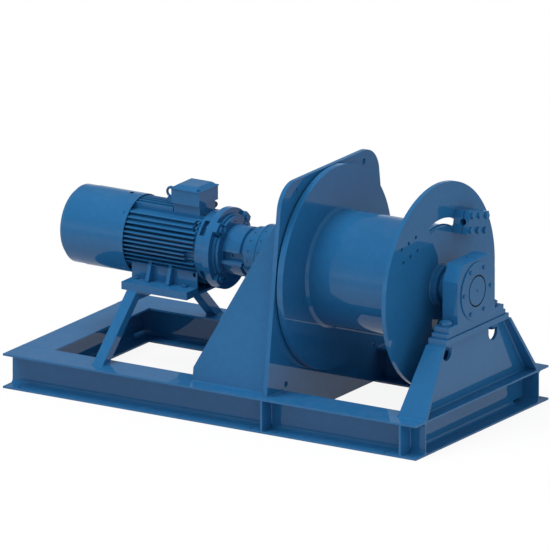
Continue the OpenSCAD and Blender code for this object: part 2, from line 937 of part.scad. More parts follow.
// A leg of the motor stand; side is 1 at the front
module stand_leg(side) {
    color(steel_blue)
        mirror([0, side, 0])
            difference() {
                across_floor(stand_x - stand_w / 2, stand_w)
                    leg_outline(leg_level_w / 2);
                across_floor(stand_x - stand_w / 2 + stand_t, stand_w - 2 * stand_t)
                    leg_outline(leg_level_w / 2 - stand_t / cos(leg_lean));
            }
}

// Side outline of a leg, half its level width given
module leg_outline(half) {
    polygon([[beam_y + half, beam_h], [beam_y - half, beam_h],
        [stand_top_half_w - half, stand_top_z], [stand_top_half_w + half, stand_top_z]]);
}

// Inner face of a leg at a height
function leg_inner_y(z) = beam_y - leg_level_w / 2 - (z - beam_h) * tan(leg_lean);

module stand_crossbar() {
    low = stand_top_z - stand_d;
    color(steel_blue)
        difference() {
            across_floor(stand_x - stand_w / 2, stand_w)
                polygon([[-leg_inner_y(low), low], [leg_inner_y(low), low],
                    [leg_inner_y(stand_top_z), stand_top_z],
                    [-leg_inner_y(stand_top_z), stand_top_z]]);
            translate([stand_x - stand_w / 2 + stand_t, -base_w / 2, low + stand_t])
                cube([stand_w - 2 * stand_t, base_w, stand_d - 2 * stand_t]);
        }
}

// Repeats a child at the four foot holes of the motor
module at_foot_holes() {
    for (x = [0, foot_pitch_x], s = [-1, 1])
        translate([stator_right_x - foot_hole_back - x, s * foot_pitch_y / 2, 0])
            children();
}

module motor_base_plate() {
    color(steel_blue)
        difference() {
            translate([stator_right_x - feet_l, -feet_half_w,
                stand_top_z])
                cube([feet_l, 2 * feet_half_w, motor_plate_t]);
            at_foot_holes()
                translate([0, 0, stand_top_z - cut])
                    cylinder(h = motor_plate_t + 2 * cut, r = foot_bolt_d / 2 + fixed_clear);
        }
}

module motor_foot_bolts() {
    color(steel_blue)
        at_foot_holes()
            zbolt(0, 0, feet_z + feet_t, foot_bolt_d, feet_t + motor_plate_t - cut);
}

// Cross section of the stator with its fins, not bored yet, about the shaft
module stator_section() {
    circle(r = shell_r);
    intersection() {
        circle(r = fin_r);
        union() {
            for (i = [0 : side_fins - 1])
                translate([-fin_r, side_fin_top - i * fin_pitch - fin_t])
                    square([2 * fin_r, fin_t]);
            for (i = [0 : top_fins - 1])
                translate([(i - (top_fins - 1) / 2) * fin_pitch - fin_t / 2, -fin_r])
                    square([fin_t, 2 * fin_r]);
        }
    }
    for (a = spread(4, 45))
        rotate(a)
            translate([0, -band_w / 2])
                square([band_r, band_w]);
}

module stator_feet() {
    for (s = [0, 1])
        mirror([0, s, 0]) {
            translate([stator_right_x - feet_l, feet_half_w - foot_w, feet_z])
                cube([feet_l, foot_w, feet_t]);
            translate([stator_right_x - feet_l, feet_half_w - foot_w, feet_z])
                cube([feet_l, foot_wall_t, motor_h - foot_wall_top]);
            for (place = foot_rib_places)
                across(stator_right_x - foot_hole_back - place * foot_pitch_x - rib_t / 2, rib_t)
                    polygon([[feet_half_w - foot_w, feet_t - motor_h - cut],
                        [rib_toe_y, feet_t - motor_h - cut],
                        [rib_toe_y, feet_t - motor_h + rib_toe],
                        [shell_r, -shell_r / 2], [rib_root_y, -rib_root_z]]);
        }
}

// Turns a child to each of the four pads that carry the cowl
module at_cowl_pads() {
    for (a = spread(4, 45))
        translate([pad_x, 0, axis_h])
            rotate([a, 0, 0])
                children();
}

module stator_housing() {
    color(steel_blue)
        difference() {
            union() {
                difference() {
                    across(stator_x, stator_l)
                        stator_section();
                    for (s = [0, 1])
                        mirror([0, s, 0])
                            translate([stator_right_x - fin_setback, shell_r + shield_seat_t,
                                axis_h + side_fin_top - setback_top * fin_pitch])
                                cube([fin_setback + cut, fin_r, setback_fins * fin_pitch]);
                    translate([box_x - cut, -neck_half_w - neck_clear, axis_h + neck_rise])
                        cube([box_l + box_back + 2 * cut, 2 * (neck_half_w + neck_clear),
                            fin_r]);
                }
                translate([box_x, -neck_half_w, axis_h + neck_rise - neck_block_h])
                    cube([box_l, 2 * neck_half_w, neck_block_h]);
                translate([eye_x, 0, axis_h + shell_r - shell_t / 2])
                    cylinder(h = fin_r + eye_seat_rise - shell_r + shell_t / 2, r = eye_seat_r);
                at_cowl_pads()
                    translate([-pad_l / 2, band_r - pad_root, -pad_w / 2])
                        cube([pad_l, pad_end_r - band_r + pad_root, pad_w]);
                stator_feet();
            }
            at_foot_holes()
                translate([0, 0, feet_z - cut])
                    cylinder(h = feet_t + 2 * cut, r = foot_bolt_d / 2 + fixed_clear);
            at_cowl_pads()
                cowl_screw_hole();
            xbar(stator_x - cut, stator_right_x + cut, shell_bore_r);
            at_flange_bolts() {
                translate([stator_right_x - ear_t - ear_gap, shell_r, axis_h - band_w / 2 - cut])
                    cube([ear_gap, fin_r - shell_r + cut, band_w + 2 * cut]);
                xbar(stator_right_x - ear_t - cut, stator_right_x + cut,
                    shield_bolt_d / 2 + fixed_clear, shield_bolt_r);
            }
        }
}

module cowl_screw_hole() {
    rotate([-90, 0, 0])
        translate([0, 0, cowl_r - screw_l])
            cylinder(h = screw_l + cut, r = screw_r + fixed_clear);
}

// A small cheese-head screw pointing down, its head on z = 0
module small_screw() {
    cylinder(h = screw_head_h, r = 2 * screw_r);
    translate([0, 0, cut - screw_l])
        cylinder(h = screw_l - cut + screw_head_h / 2, r = screw_r);
}

module small_screws() {
    color(steel_blue) {
        at_cowl_pads()
            rotate([-90, 0, 0])
                translate([0, 0, cowl_r])
                    small_screw();
        at_lid_corners()
            translate([0, 0, lid_z + lip_h])
                small_screw();
    }
}

module stator_core() {
    color(copper) {
        xring(core_x, core_x + core_l, shell_bore_r - fixed_clear, rotor_r + air_gap);
        for (x = [core_x - winding_l, core_x + core_l])
            xring(x, x + winding_l, shell_bore_r - shell_t, rotor_r + winding_gap);
    }
}

module non_drive_shield() {
    color(steel_blue)
        turned([[bearing_seat_r, stator_x - shield_rim_t],
            [shell_r + shield_seat_t, stator_x - shield_rim_t],
            [shell_r + shield_seat_t, stator_x],
            [shell_bore_r - fixed_clear, stator_x],
            [shell_bore_r - fixed_clear, stator_x + shield_rim_t],
            [bearing_seat_r, stator_x + shield_rim_t]]);
}

module drive_end_shield() {
    color(steel_blue)
        difference() {
            union() {
                difference() {
                    turned([[bearing_seat_r, bell_x - cut], [shield_r, bell_x - cut],
                        [shield_r, stator_right_x], [shell_bore_r - shell_t, stator_right_x],
                        [shell_bore_r - shell_t, stator_right_x + shield_l / 2],
                        [bearing_seat_r, stator_right_x + shield_l / 2]]);
                    at_flange_bolts()
                        translate([motor_flange_x - nut_pocket_l, nut_pocket_r,
                            axis_h - nut_pocket_w / 2])
                            cube([nut_pocket_l + motor_flange_t, shield_r, nut_pocket_w]);
                }
                xring(motor_flange_x, bell_x, motor_flange_d / 2,
                    motor_shaft_r + shield_lip_t);
            }
            at_flange_bolts() {
                xbar(motor_flange_x - cut, bell_x + cut, flange_bolt_d / 2 + fixed_clear,
                    flange_pcd / 2);
                xbar(stator_right_x - cut, stator_right_x + shield_thread_l,
                    shield_bolt_d / 2 + fixed_clear, shield_bolt_r);
            }
        }
}

// Turns a child to each of the four bolt places round the motor's flange
module at_flange_bolts() {
    for (a = spread(4, 45))
        translate([0, 0, axis_h])
            rotate([a, 0, 0])
                translate([0, 0, -axis_h])
                    children();
}

// Bolts and nuts of the flange, and the bolts that hold the shield to the stator
module motor_flange_bolts() {
    color(steel_blue)
        at_flange_bolts() {
            xbolt(bell_x + motor_flange_t + lug_l, flange_bolt_d,
                lug_l + 2 * motor_flange_t + thread_end(flange_bolt_d), flange_pcd / 2, 0, 1);
            translate([motor_flange_x, flange_pcd / 2, axis_h])
                rotate([0, -90, 0])
                    cylinder(h = nut_h(flange_bolt_d), r = head_r(flange_bolt_d), $fn = 6);
            xbolt(stator_right_x - ear_t, shield_bolt_d, ear_t + shield_thread_l - cut,
                shield_bolt_r);
        }
}

module motor_bearings() {
    color(bare_steel) {
        xring(stator_x - shield_rim_t, stator_x + shield_rim_t, bearing_seat_r - fixed_clear,
            motor_shaft_r + run_clear);
        xring(stator_right_x + shield_l / 2, motor_flange_x, bearing_seat_r - fixed_clear,
            motor_shaft_r + run_clear);
    }
}

module fan_cowl() {
    color(steel_blue)
        difference() {
            xring(cowl_x, cowl_x + cowl_l, cowl_r, cowl_r - cowl_t);
            at_cowl_pads()
                cowl_screw_hole();
        }
}

// Points of a rounded edge of the cap about (r, x) with radius f, from its step number first
function cap_edge(r, x, f, first) = [for (i = [0 : cap_steps])
    let (a = abs(first - i) * 90 / cap_steps) [r + f * sin(a), x - f * cos(a)]];

// The cap lets the fan's air in through a ring of slots in its end
module cowl_end_cap() {
    color(steel_blue)
        difference() {
            turned(concat([[0, cap_x]],
                cap_edge(cap_r - cap_rim - cap_round, cap_x + cap_round, cap_round, 0),
                cap_edge(cap_r - cap_rim_round, cap_x + cap_rim_l + cap_rim_round,
                    cap_rim_round, 0),
                [[cap_r, cowl_x], [cap_r - cowl_t, cowl_x]],
                cap_edge(cap_r - cap_rim_round, cap_x + cap_rim_l + cap_rim_round,
                    cap_rim_round - cowl_t, cap_steps),
                cap_edge(cap_r - cap_rim - cap_round, cap_x + cap_round,
                    cap_round - cowl_t, cap_steps),
                [[0, cap_x + cowl_t]]));
            for (a = spread(cap_slots))
                translate([cap_x - cut, 0, axis_h])
                    rotate([a, 0, 0])
                        translate([0, cap_slot_r, -cap_slot_w / 2])
                            cube([cowl_t + 2 * cut, cap_slot_l, cap_slot_w]);
        }
}

module cooling_fan() {
    color(rubber_black)
        difference() {
            union() {
                xbar(fan_x, fan_x + fan_l, fan_hub_r);
                xbar(fan_x + fan_l - fan_disc_t, fan_x + fan_l, fan_r);
                for (a = spread(fan_blades))
                    translate([fan_x, 0, axis_h])
                        rotate([a, 0, 0])
                            translate([0, fan_hub_r - blade_t, -blade_t / 2])
                                cube([fan_l - fan_disc_t / 2, fan_r - fan_hub_r, blade_t]);
            }
            xbar(fan_x - cut, fan_x + fan_l + cut, motor_shaft_r + fixed_clear);
        }
}

module rotor_shaft() {
    color(bare_steel)
        xbar(fan_x - shaft_end_reach, coupling_mid_x - shaft_end_gap / 2, motor_shaft_r);
}

module rotor_core() {
    color(bare_steel)
        xring(core_x, core_x + core_l, rotor_r, motor_shaft_r + fixed_clear);
}

module brake_disc() {
    color(bare_steel)
        xring(brake_x - disc_t - air_gap, brake_x - air_gap, brake_r,
            motor_shaft_r + fixed_clear);
}

module brake_magnet() {
    color(rubber_black)
        xring(brake_x, stator_x - shield_rim_t, brake_r + magnet_rim,
            motor_shaft_r + shield_lip_t);
}

// Repeats a child at the lid's corner screws
module at_lid_corners() {
    for (x = [post_w / 2, box_l - post_w / 2], s = [-1, 1])
        translate([box_x + x, s * (box_half_w - post_w / 2), 0])
            children();
}

module terminal_box() {
    neck_z = axis_h + neck_rise;
    color(steel_blue)
        difference() {
            union() {
                translate([box_x, -box_half_w, box_z])
                    cube([box_l, 2 * box_half_w, box_h]);
                translate([box_x + neck_inset, -neck_half_w, neck_z])
                    cube([box_l - 2 * neck_inset, 2 * neck_half_w, box_z - neck_z + cut]);
            }
            difference() {
                translate([box_x + box_t, -box_half_w + box_t, box_z + box_t])
                    cube([box_l - 2 * box_t, 2 * (box_half_w - box_t), box_h]);
                at_lid_corners()
                    translate([-post_w / 2, -post_w / 2, box_z])
                        cube([post_w, post_w, box_h]);
            }
            translate([box_x + neck_inset + box_t, -neck_half_w + box_t, neck_z + box_t])
                cube([box_l - 2 * (neck_inset + box_t), 2 * (neck_half_w - box_t),
                    box_z - neck_z + cut]);
            at_lid_corners()
                translate([0, 0, lid_z - screw_l])
                    cylinder(h = screw_l + cut, r = screw_r + fixed_clear);
            ybar(neck_half_w - box_t - cut, neck_half_w + cut, cable_r, gland_x, gland_z);
        }
}

module terminal_lid() {
    half_l = box_l / 2 + lip_out;
    half_w = box_half_w + lip_out;
    color(steel_blue)
        difference() {
            intersection() {
                across_floor(box_x - lip_out, 2 * half_l)
                    lid_outline(half_w);
                translate([box_x + box_l / 2, 0, 0])
                    along_floor(-half_w, 2 * half_w)
                        lid_outline(half_l);
            }
            at_lid_corners() {
                translate([0, 0, lid_z - cut])
                    cylinder(h = lid_h, r = screw_r + fixed_clear);
                translate([0, 0, lid_z + lip_h])
                    cylinder(h = lid_h, r = screw_well_r);
            }
        }
}

// Outline of the lid with its lip and bevels, half its width given
module lid_outline(half) {
    polygon([[-half, lid_z], [half, lid_z], [half, lid_z + lip_h],
        [half - lid_bevel, lid_z + lid_h], [lid_bevel - half, lid_z + lid_h],
        [-half, lid_z + lip_h]]);
}

module cable_gland() {
    color(rubber_black)
        difference() {
            union() {
                ybar(neck_half_w, neck_half_w + gland_l, cable_r + gland_wall, gland_x, gland_z);
                translate([gland_x, neck_half_w + gland_l / 2, gland_z])
                    rotate([90, 0, 0])
                        cylinder(h = gland_l / 2, r = cable_r + gland_nut_rise, $fn = 6);
            }
            ybar(neck_half_w - cut, neck_half_w + gland_l + cut, cable_r, gland_x, gland_z);
        }
}

module lifting_eye() {
    color(steel_blue)
        union() {
            translate([eye_x, 0, eye_seat_z])
                cylinder(h = eye_foot_h, r = eye_seat_r);
            translate([eye_x, 0, eye_seat_z + eye_foot_h + eye_r + eye_t / 2 - eye_sunk])
                rotate([90, 0, 0])
                    rotate_extrude()
                        translate([eye_r, 0])
                            circle(r = eye_t / 2);
        }
}

module bell_housing() {
    bell_flange_x = bell_x + motor_flange_t;
    half_ring_x = bell_flange_x + bell_ring_l / 2;
    neck_x = gear_x - neck_l;
    backing_y = coupling_r + coupling_clear;
    pocket_y = backing_y + side_backing_t;
    color(steel_blue)
        difference() {
            union() {
                difference() {
                    turned([[bell_r - bell_t, bell_x], [motor_flange_d / 2, bell_x],
                        [motor_flange_d / 2, bell_flange_x], [bell_ring_r, bell_flange_x],
                        [bell_ring_r, half_ring_x], [bell_ring_r - ring_step, half_ring_x],
                        [bell_ring_r - ring_step, bell_barrel_x], [bell_r, bell_barrel_x],
                        [bell_r, neck_x - bell_edge], [bell_r - bell_edge, neck_x],
                        [bell_neck_r, neck_x + neck_fall], [bell_neck_r, gear_x],
                        [2 * input_r, gear_x], [2 * input_r, neck_x - bell_t],
                        [bell_r - bell_t, neck_x - bell_t]]);
                    at_flange_bolts()
                        translate([bell_flange_x, lug_root_r,
                            axis_h - lug_w / 2 - lug_side_gap])
                            cube([bell_ring_l + cut, lug_root_r, lug_w + 2 * lug_side_gap]);
                }
                at_flange_bolts() {
                    intersection() {
                        xbar(bell_flange_x - cut, bell_flange_x + lug_l, motor_flange_d / 2);
                        translate([bell_flange_x - cut, lug_root_r - cut, axis_h - lug_w / 2])
                            cube([lug_l + cut, lug_root_r, lug_w]);
                    }
                    translate([bell_barrel_x - cut, bell_r - cut, axis_h - face_pad_w / 2])
                        cube([face_pad_t + cut, lug_root_r - bell_r + cut, face_pad_w]);
                }
                for (s = [0, 1])
                    mirror([0, s, 0]) {
                        translate([bell_barrel_x - cut, bell_r - bell_t,
                            axis_h - side_pocket_drop - bell_bar_h])
                            cube([gear_x - bell_barrel_x + cut, bell_t + bell_bar_rise,
                                bell_bar_h]);
                        translate([bell_barrel_x - cut, backing_y,
                            axis_h - side_pocket_drop - side_backing_t])
                            cube([neck_x - bell_barrel_x, bell_r - bell_t - backing_y,
                                side_pocket_h + 2 * side_backing_t]);
                    }
            }
            at_flange_bolts()
                xbar(bell_x - cut, bell_flange_x + lug_l + cut,
                    flange_bolt_d / 2 + fixed_clear, flange_pcd / 2);
            for (a = spread(face_holes))
                xbar(bell_barrel_x + face_pad_t - face_hole_l, bell_barrel_x + face_pad_t + cut,
                    face_hole_r, face_pcd_r * cos(a), face_pcd_r * sin(a));
            for (s = [0, 1])
                mirror([0, s, 0]) {
                    translate([bell_barrel_x + side_pocket_wall, pocket_y,
                        axis_h - side_pocket_drop])
                        cube([gear_x - bell_barrel_x, bell_r, side_pocket_h]);
                    ybar(pocket_y - side_hole_l, bell_r, side_hole_r,
                        (bell_barrel_x + neck_x) / 2, axis_h);
                }
        }
}

module gearbox_housing() {
    ends = [for (i = [0 : len(gear_steps) - 1]) gear_x + step_sum(i)];
    outer = [for (i = [0 : len(gear_steps) - 1], end = [0, 1])
        [gear_steps[i][0],
            end == 0 ? (i == 0 ? gear_x : ends[i - 1])
                : (i == len(gear_steps) - 1 ? plate_x - gear_flange_t : ends[i])]];
    color(steel_blue)
        difference() {
            turned(concat([[input_r + run_clear, gear_x]], outer,
                [[gear_flange_r, plate_x - gear_flange_t], [gear_flange_r, plate_x],
                    [gear_bore_r, plate_x], [gear_bore_r, gear_x + gear_wall],
                    [input_r + run_clear, gear_x + gear_wall]]));
            for (a = spread(gear_bolts, gear_bolt_a))
                xbar(plate_x - gear_flange_t - cut, plate_x + cut, gear_bolt_d / 2 + fixed_clear,
                    gear_pcd / 2 * cos(a), gear_pcd / 2 * sin(a));
        }
}

// Length of the gear unit's steps up to and with step n
function step_sum(n) = n < 0 ? 0 : gear_steps[n][1] + step_sum(n - 1);

module gearbox_bolts() {
    color(steel_blue)
        for (a = spread(gear_bolts, gear_bolt_a))
            xbolt(plate_x - gear_flange_t, gear_bolt_d, gear_flange_t + plate_t - cut,
                gear_pcd / 2 * cos(a), gear_pcd / 2 * sin(a));
}

module planet_carrier() {
    color(bare_steel)
        union() {
            xring(plate_x, nose_end_x, nose_r, 2 * input_r);
            for (a = planet_angles)
                xbar(nose_end_x - cut, gear_start_x + gear_w + pin_reach, pin_d / 2,
                    planet_reach * cos(a), planet_reach * sin(a));
        }
}

function rad(a) = a * PI / 180;
function involute(a) = (tan(a) - rad(a)) * 180 / PI;

// Half the angle that a tooth spans at radius r
function tooth_half(r, teeth, slack) =
    let (pitch = gear_m * teeth / 2, base = pitch * cos(pressure_angle))
        90 / teeth - slack / 2 / pitch * 180 / PI + involute(pressure_angle)
            - involute(acos(min(1, base / r)));

// One tooth, as angle and radius pairs from its left root to its right root
function tooth(teeth, low, high, slack) =
    let (base = gear_m * teeth / 2 * cos(pressure_angle),
        start = max(low, base + 0.01),
        flank = [for (i = [0 : flank_steps]) start + (high - start) * i / flank_steps])
        concat(
            [[-tooth_half(start, teeth, slack), low]],
            [for (r = flank) [-tooth_half(r, teeth, slack), r]],
            [for (i = [flank_steps : -1 : 0]) [tooth_half(flank[i], teeth, slack), flank[i]]],
            [[tooth_half(start, teeth, slack), low]]);

// A gear outline with its first tooth at the given angle
module gear_outline(teeth, low, high, slack, first) {
    shape = tooth(teeth, low, high, slack);
    start = low > gear_m * teeth / 2 * cos(pressure_angle) ? 1 : 0;
    polygon([for (i = [0 : teeth - 1], k = [start : len(shape) - 1 - start])
        let (a = first + i * 360 / teeth + shape[k][0], r = shape[k][1])
            [r * cos(a), r * sin(a)]]);
}

module outer_gear(teeth, first) {
    pitch = gear_m * teeth / 2;
    gear_outline(teeth, pitch - dedendum, pitch + gear_m, backlash, first);
}

module sun_gear() {
    color(bare_steel)
        union() {
            across(gear_start_x, gear_w)
                outer_gear(sun_teeth, planet_angles[0]);
            xbar(coupling_mid_x + shaft_end_gap / 2, gear_start_x + cut, input_r);
        }
}

module planet_gear(n) {
    a = planet_angles[n - 1];
    color(bare_steel)
        difference() {
            translate([0, planet_reach * cos(a), planet_reach * sin(a)])
                across(gear_start_x, gear_w)
                    outer_gear(planet_teeth, a + 180 / planet_teeth);
            xbar(gear_start_x - cut, gear_start_x + gear_w + cut, pin_d / 2 + run_clear,
                planet_reach * cos(a), planet_reach * sin(a));
        }
}

module ring_gear() {
    pitch = gear_m * ring_teeth / 2;
    color(bare_steel)
        across(gear_start_x, gear_w)
            difference() {
                circle(r = barrel_bore_r - fixed_clear);
                gear_outline(ring_teeth, pitch - gear_m, pitch + dedendum, -backlash,
                    planet_angles[0] + 180 / ring_teeth);
            }
}

module drum_barrel() {
    color(steel_blue)
        xring(inner_flange_x, outer_flange_x, barrel_r, barrel_bore_r);
}

module inner_flange() {
    color(steel_blue)
        turned([[nose_r + run_clear, drum_x], [drum_flange_r, drum_x],
            [drum_flange_r, inner_flange_x], [barrel_r + collar_rise, inner_flange_x],
            [barrel_r + collar_tip, inner_flange_x + collar_w],
            [barrel_r + fixed_clear, inner_flange_x + collar_w],
            [barrel_r + fixed_clear, inner_flange_x], [nose_r + run_clear, inner_flange_x]]);
}

// Bolt places of a rope clamp as Y and height above the axis; lean is 1 or -1
function clamp_points(y, z, lean) = [for (i = [-1 : 1], j = [-1, 1])
    [y + i * clamp_pitch_l * cos(clamp_tilt) + j * clamp_pitch_h / 2 * lean * sin(clamp_tilt),
        z - i * clamp_pitch_l * lean * sin(clamp_tilt)
            + j * clamp_pitch_h / 2 * cos(clamp_tilt)]];

module outer_flange() {
    mid_a = (slot_start + slot_end) / 2;
    color(steel_blue)
        difference() {
            xring(outer_flange_x, outer_face_x, drum_flange_r, hub_r + fixed_clear);
            intersection() {
                xring(outer_flange_x - cut, outer_face_x + cut, barrel_r + slot_w, barrel_r);
                across(outer_flange_x - 2 * cut, drum_flange_t + 4 * cut)
                    polygon(concat([[0, 0]], [for (a = [slot_start, mid_a, slot_end])
                        [drum_flange_r * cos(a), drum_flange_r * sin(a)]]));
            }
            for (p = concat(clamp_points(clamp_y, clamp_z, 1),
                    clamp_points(-spare_y, spare_z, -1)))
                xbar(outer_flange_x - cut, outer_face_x + cut, clamp_bolt_d / 2 + fixed_clear,
                    p[0], p[1]);
        }
}

module drum_shaft() {
    color(steel_blue)
        difference() {
            turned([[0, outer_flange_x - hub_flange_t],
                [shaft_flange_r, outer_flange_x - hub_flange_t],
                [shaft_flange_r, outer_flange_x], [hub_r, outer_flange_x],
                [hub_r, outer_face_x + hub_l], [shaft_r, outer_face_x + hub_l],
                [shaft_r, cover_x], [0, cover_x]]);
            xbar(cover_x - centre_hole_l, cover_x + cut, centre_hole_r);
        }
}

// Clamp outline, turned to its tilt
module clamp_outline() {
    translate([clamp_y, clamp_z])
        rotate(-clamp_tilt)
            translate([-clamp_l / 2, -clamp_h / 2])
                square([clamp_l, clamp_h]);
}

// The rope groove between clamp block and plate
module rope_groove() {
    translate([outer_face_x + clamp_block_t + clamp_gap / 2, clamp_y, axis_h + clamp_z])
        rotate([-90 - clamp_tilt, 0, 0])
            cylinder(h = 2 * clamp_l, r = rope_groove_d / 2, center = true);
}

// A slab of the rope clamp from x, with its groove and bolt holes
module clamp_slab(x, t) {
    color(steel_blue)
        difference() {
            across(x, t)
                clamp_outline();
            rope_groove();
            for (p = clamp_points(clamp_y, clamp_z, 1))
                xbar(x - cut, x + t + cut, clamp_bolt_d / 2 + fixed_clear, p[0], p[1]);
        }
}

module clamp_bolts() {
    color(steel_blue)
        for (p = clamp_points(clamp_y, clamp_z, 1))
            xbolt(clamp_plate_x + clamp_plate_t, clamp_bolt_d,
                clamp_plate_t + clamp_gap + clamp_block_t + drum_flange_t - cut, p[0], p[1], 1);
}

module shaft_coupling() {
    color(bare_steel)
        difference() {
            xbar(coupling_x, coupling_x + coupling_l, coupling_r);
            xbar(coupling_x - cut, coupling_mid_x, motor_shaft_r + fixed_clear);
            xbar(coupling_mid_x - cut, coupling_x + coupling_l + cut, input_r + fixed_clear);
        }
}

long_beam(-1);  // front_beam
long_beam(1);  // rear_beam
cross_beam(-cross_x);  // left_cross_beam
cross_beam(cross_x);  // right_cross_beam
web_stiffeners();
main_plate();
gusset(1);  // front_gusset
gusset(0);  // rear_gusset
pedestal_web();
pedestal_side(1);  // pedestal_front_plate
pedestal_side(0);  // pedestal_rear_plate
pedestal_top_plate();
shim_plate();
bearing_housing();
bearing_outer_ring();
bearing_covers();
cover_bolts();
housing_bolts();
shaft_seal();
stand_leg(1);  // stand_front_leg
stand_leg(0);  // stand_rear_leg
stand_crossbar();
motor_base_plate();
motor_foot_bolts();
stator_housing();
stator_core();
non_drive_shield();
drive_end_shield();
motor_bearings();
fan_cowl();
cowl_end_cap();
small_screws();
terminal_box();
terminal_lid();
cable_gland();
lifting_eye();
motor_flange_bolts();
brake_magnet();
bell_housing();
gearbox_housing();
gearbox_bolts();
planet_carrier();
drum_barrel();
inner_flange();
outer_flange();
ring_gear();
drum_shaft();
bearing_inner_ring();
clamp_slab(outer_face_x, clamp_block_t);  // rope_clamp_block
clamp_slab(clamp_plate_x, clamp_plate_t);  // rope_clamp_plate
clamp_bolts();
rotor_shaft();
rotor_core();
cooling_fan();
brake_disc();
shaft_coupling();
sun_gear();
planet_gear(1);  // planet_gear_1
planet_gear(2);  // planet_gear_2
planet_gear(3);  // planet_gear_3
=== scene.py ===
"""Looks of a wire rope winch: paint, steel, weld seams, fasteners, fittings, floor, light and camera."""
import json
import math

import bmesh
import bpy
from mathutils import Matrix, Vector


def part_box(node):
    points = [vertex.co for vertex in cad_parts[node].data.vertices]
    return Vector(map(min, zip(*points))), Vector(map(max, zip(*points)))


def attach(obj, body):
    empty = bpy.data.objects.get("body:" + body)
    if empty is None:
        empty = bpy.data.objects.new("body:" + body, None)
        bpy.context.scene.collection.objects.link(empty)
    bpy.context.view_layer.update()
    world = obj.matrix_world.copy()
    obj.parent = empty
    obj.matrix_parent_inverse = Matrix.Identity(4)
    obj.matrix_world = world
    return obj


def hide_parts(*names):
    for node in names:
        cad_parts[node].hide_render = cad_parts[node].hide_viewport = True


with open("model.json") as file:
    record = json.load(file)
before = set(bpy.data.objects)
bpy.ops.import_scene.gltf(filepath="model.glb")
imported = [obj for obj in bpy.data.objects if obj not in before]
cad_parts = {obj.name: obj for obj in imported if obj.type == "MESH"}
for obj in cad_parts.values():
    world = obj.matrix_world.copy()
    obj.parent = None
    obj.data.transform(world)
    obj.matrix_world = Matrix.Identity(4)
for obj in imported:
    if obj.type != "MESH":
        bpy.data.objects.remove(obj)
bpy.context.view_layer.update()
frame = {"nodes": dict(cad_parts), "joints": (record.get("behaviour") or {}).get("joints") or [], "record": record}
scene = bpy.context.scene
scene.view_settings.view_transform = "Standard"

# The photograph's view: a very long lens, so that parallel edges stay parallel
VIEW_AZIMUTH = math.radians(31.87)
VIEW_ELEVATION = math.radians(16.183)
PIXELS_PER_METRE = 236.65
IMAGE_SIZE = 550
ORIGIN_PIXEL = (275.45, 393.78)
CAMERA_DISTANCE = 110.0
SENSOR_WIDTH = 0.036

# Plain studio light
WORLD_LIGHT = 0.43
LAMPS = [
    # name, strength, way towards the lamp, its width in the sky
    ("key_lamp", 2.0, (-0.27, -0.345, 0.90), math.radians(38)),
    ("fill_lamp", 0.6, (0.80, -0.35, 0.48), math.radians(70)),
]
SKY_IN_GLOSS = [(0.0, (1, 1, 1, 1)), (1.0, (0.30, 0.30, 0.30, 1)),
                (0.28, (0.38, 0.38, 0.38, 1)), (0.5, (0.24, 0.24, 0.24, 1))]
FLOOR_RADIUS = 40.0
FLOOR_DROP = 0.0002
FLOOR_GLOW = 0.90
FLOOR_SEEN = (0.95, 0.95, 0.95, 1)
FLOOR_LIT = (0.65, 0.65, 0.65, 1)
FLOOR_FAR = (0.6, 0.6, 0.6, 1)
FLOOR_FADE = (1.5, 4.0)

# Width of the broken edges on carried-over pieces, in metres
PLATE_EDGE = 0.0012
EDGES = {
    "bearing_housing": 0.002, "bell_housing": 0.002, "gearbox_housing": 0.002, "bearing_covers": 0.0015,
    "drive_end_shield": 0.0015, "terminal_box": 0.0015, "terminal_lid": 0.0015, "stator_housing": 0.0008,
    "fan_cowl": 0.0006, "cowl_end_cap": 0.0008, "shaft_seal": 0.0005, "cable_gland": 0.0005,
    "lifting_eye": 0.0008, "drum_shaft": 0.001, "motor_base_plate": 0.0003, "small_screws": 0.0003,
}
HIDDEN_INSIDE = {
    "stator_core", "motor_bearings", "brake_magnet", "bearing_outer_ring", "bearing_inner_ring",
    "ring_gear", "sun_gear", "planet_gear_1", "planet_gear_2", "planet_gear_3", "planet_carrier",
    "rotor_shaft", "rotor_core", "cooling_fan", "brake_disc", "shaft_coupling", "non_drive_shield",
}
GENTLE_EDGE = math.radians(14)
BEVELLED_EDGE = math.radians(19)
FLAT_ENOUGH = math.radians(0.1)

# Distances within which corners count as one, and as lying on a plane
SAME_CORNER = 1e-5
ON_PLANE = 1e-4

# A bolt's head is at least this many times as wide as its shank
HEAD_TO_SHANK = 1.3
THREAD_TURNS = 8
THREAD_END = 0.002

# Nut and thread end under a foot bolt
FOOT_NUT = (0.0126, 0.0112)
FOOT_THREAD = (0.007, 0.014)
FOOT_THREAD_REACH = 0.015

# Pan head of the small screws: radius and height
SCREW_HEAD = (0.006, 0.003)

# Rings of plugs round the gear unit's neck: place along X and angle of the first plug
PLUG_RINGS = ((-0.069, -3.0), (-0.011, 19.0))
PLUGS_IN_RING = 16
PLUG_SINK = 0.0006

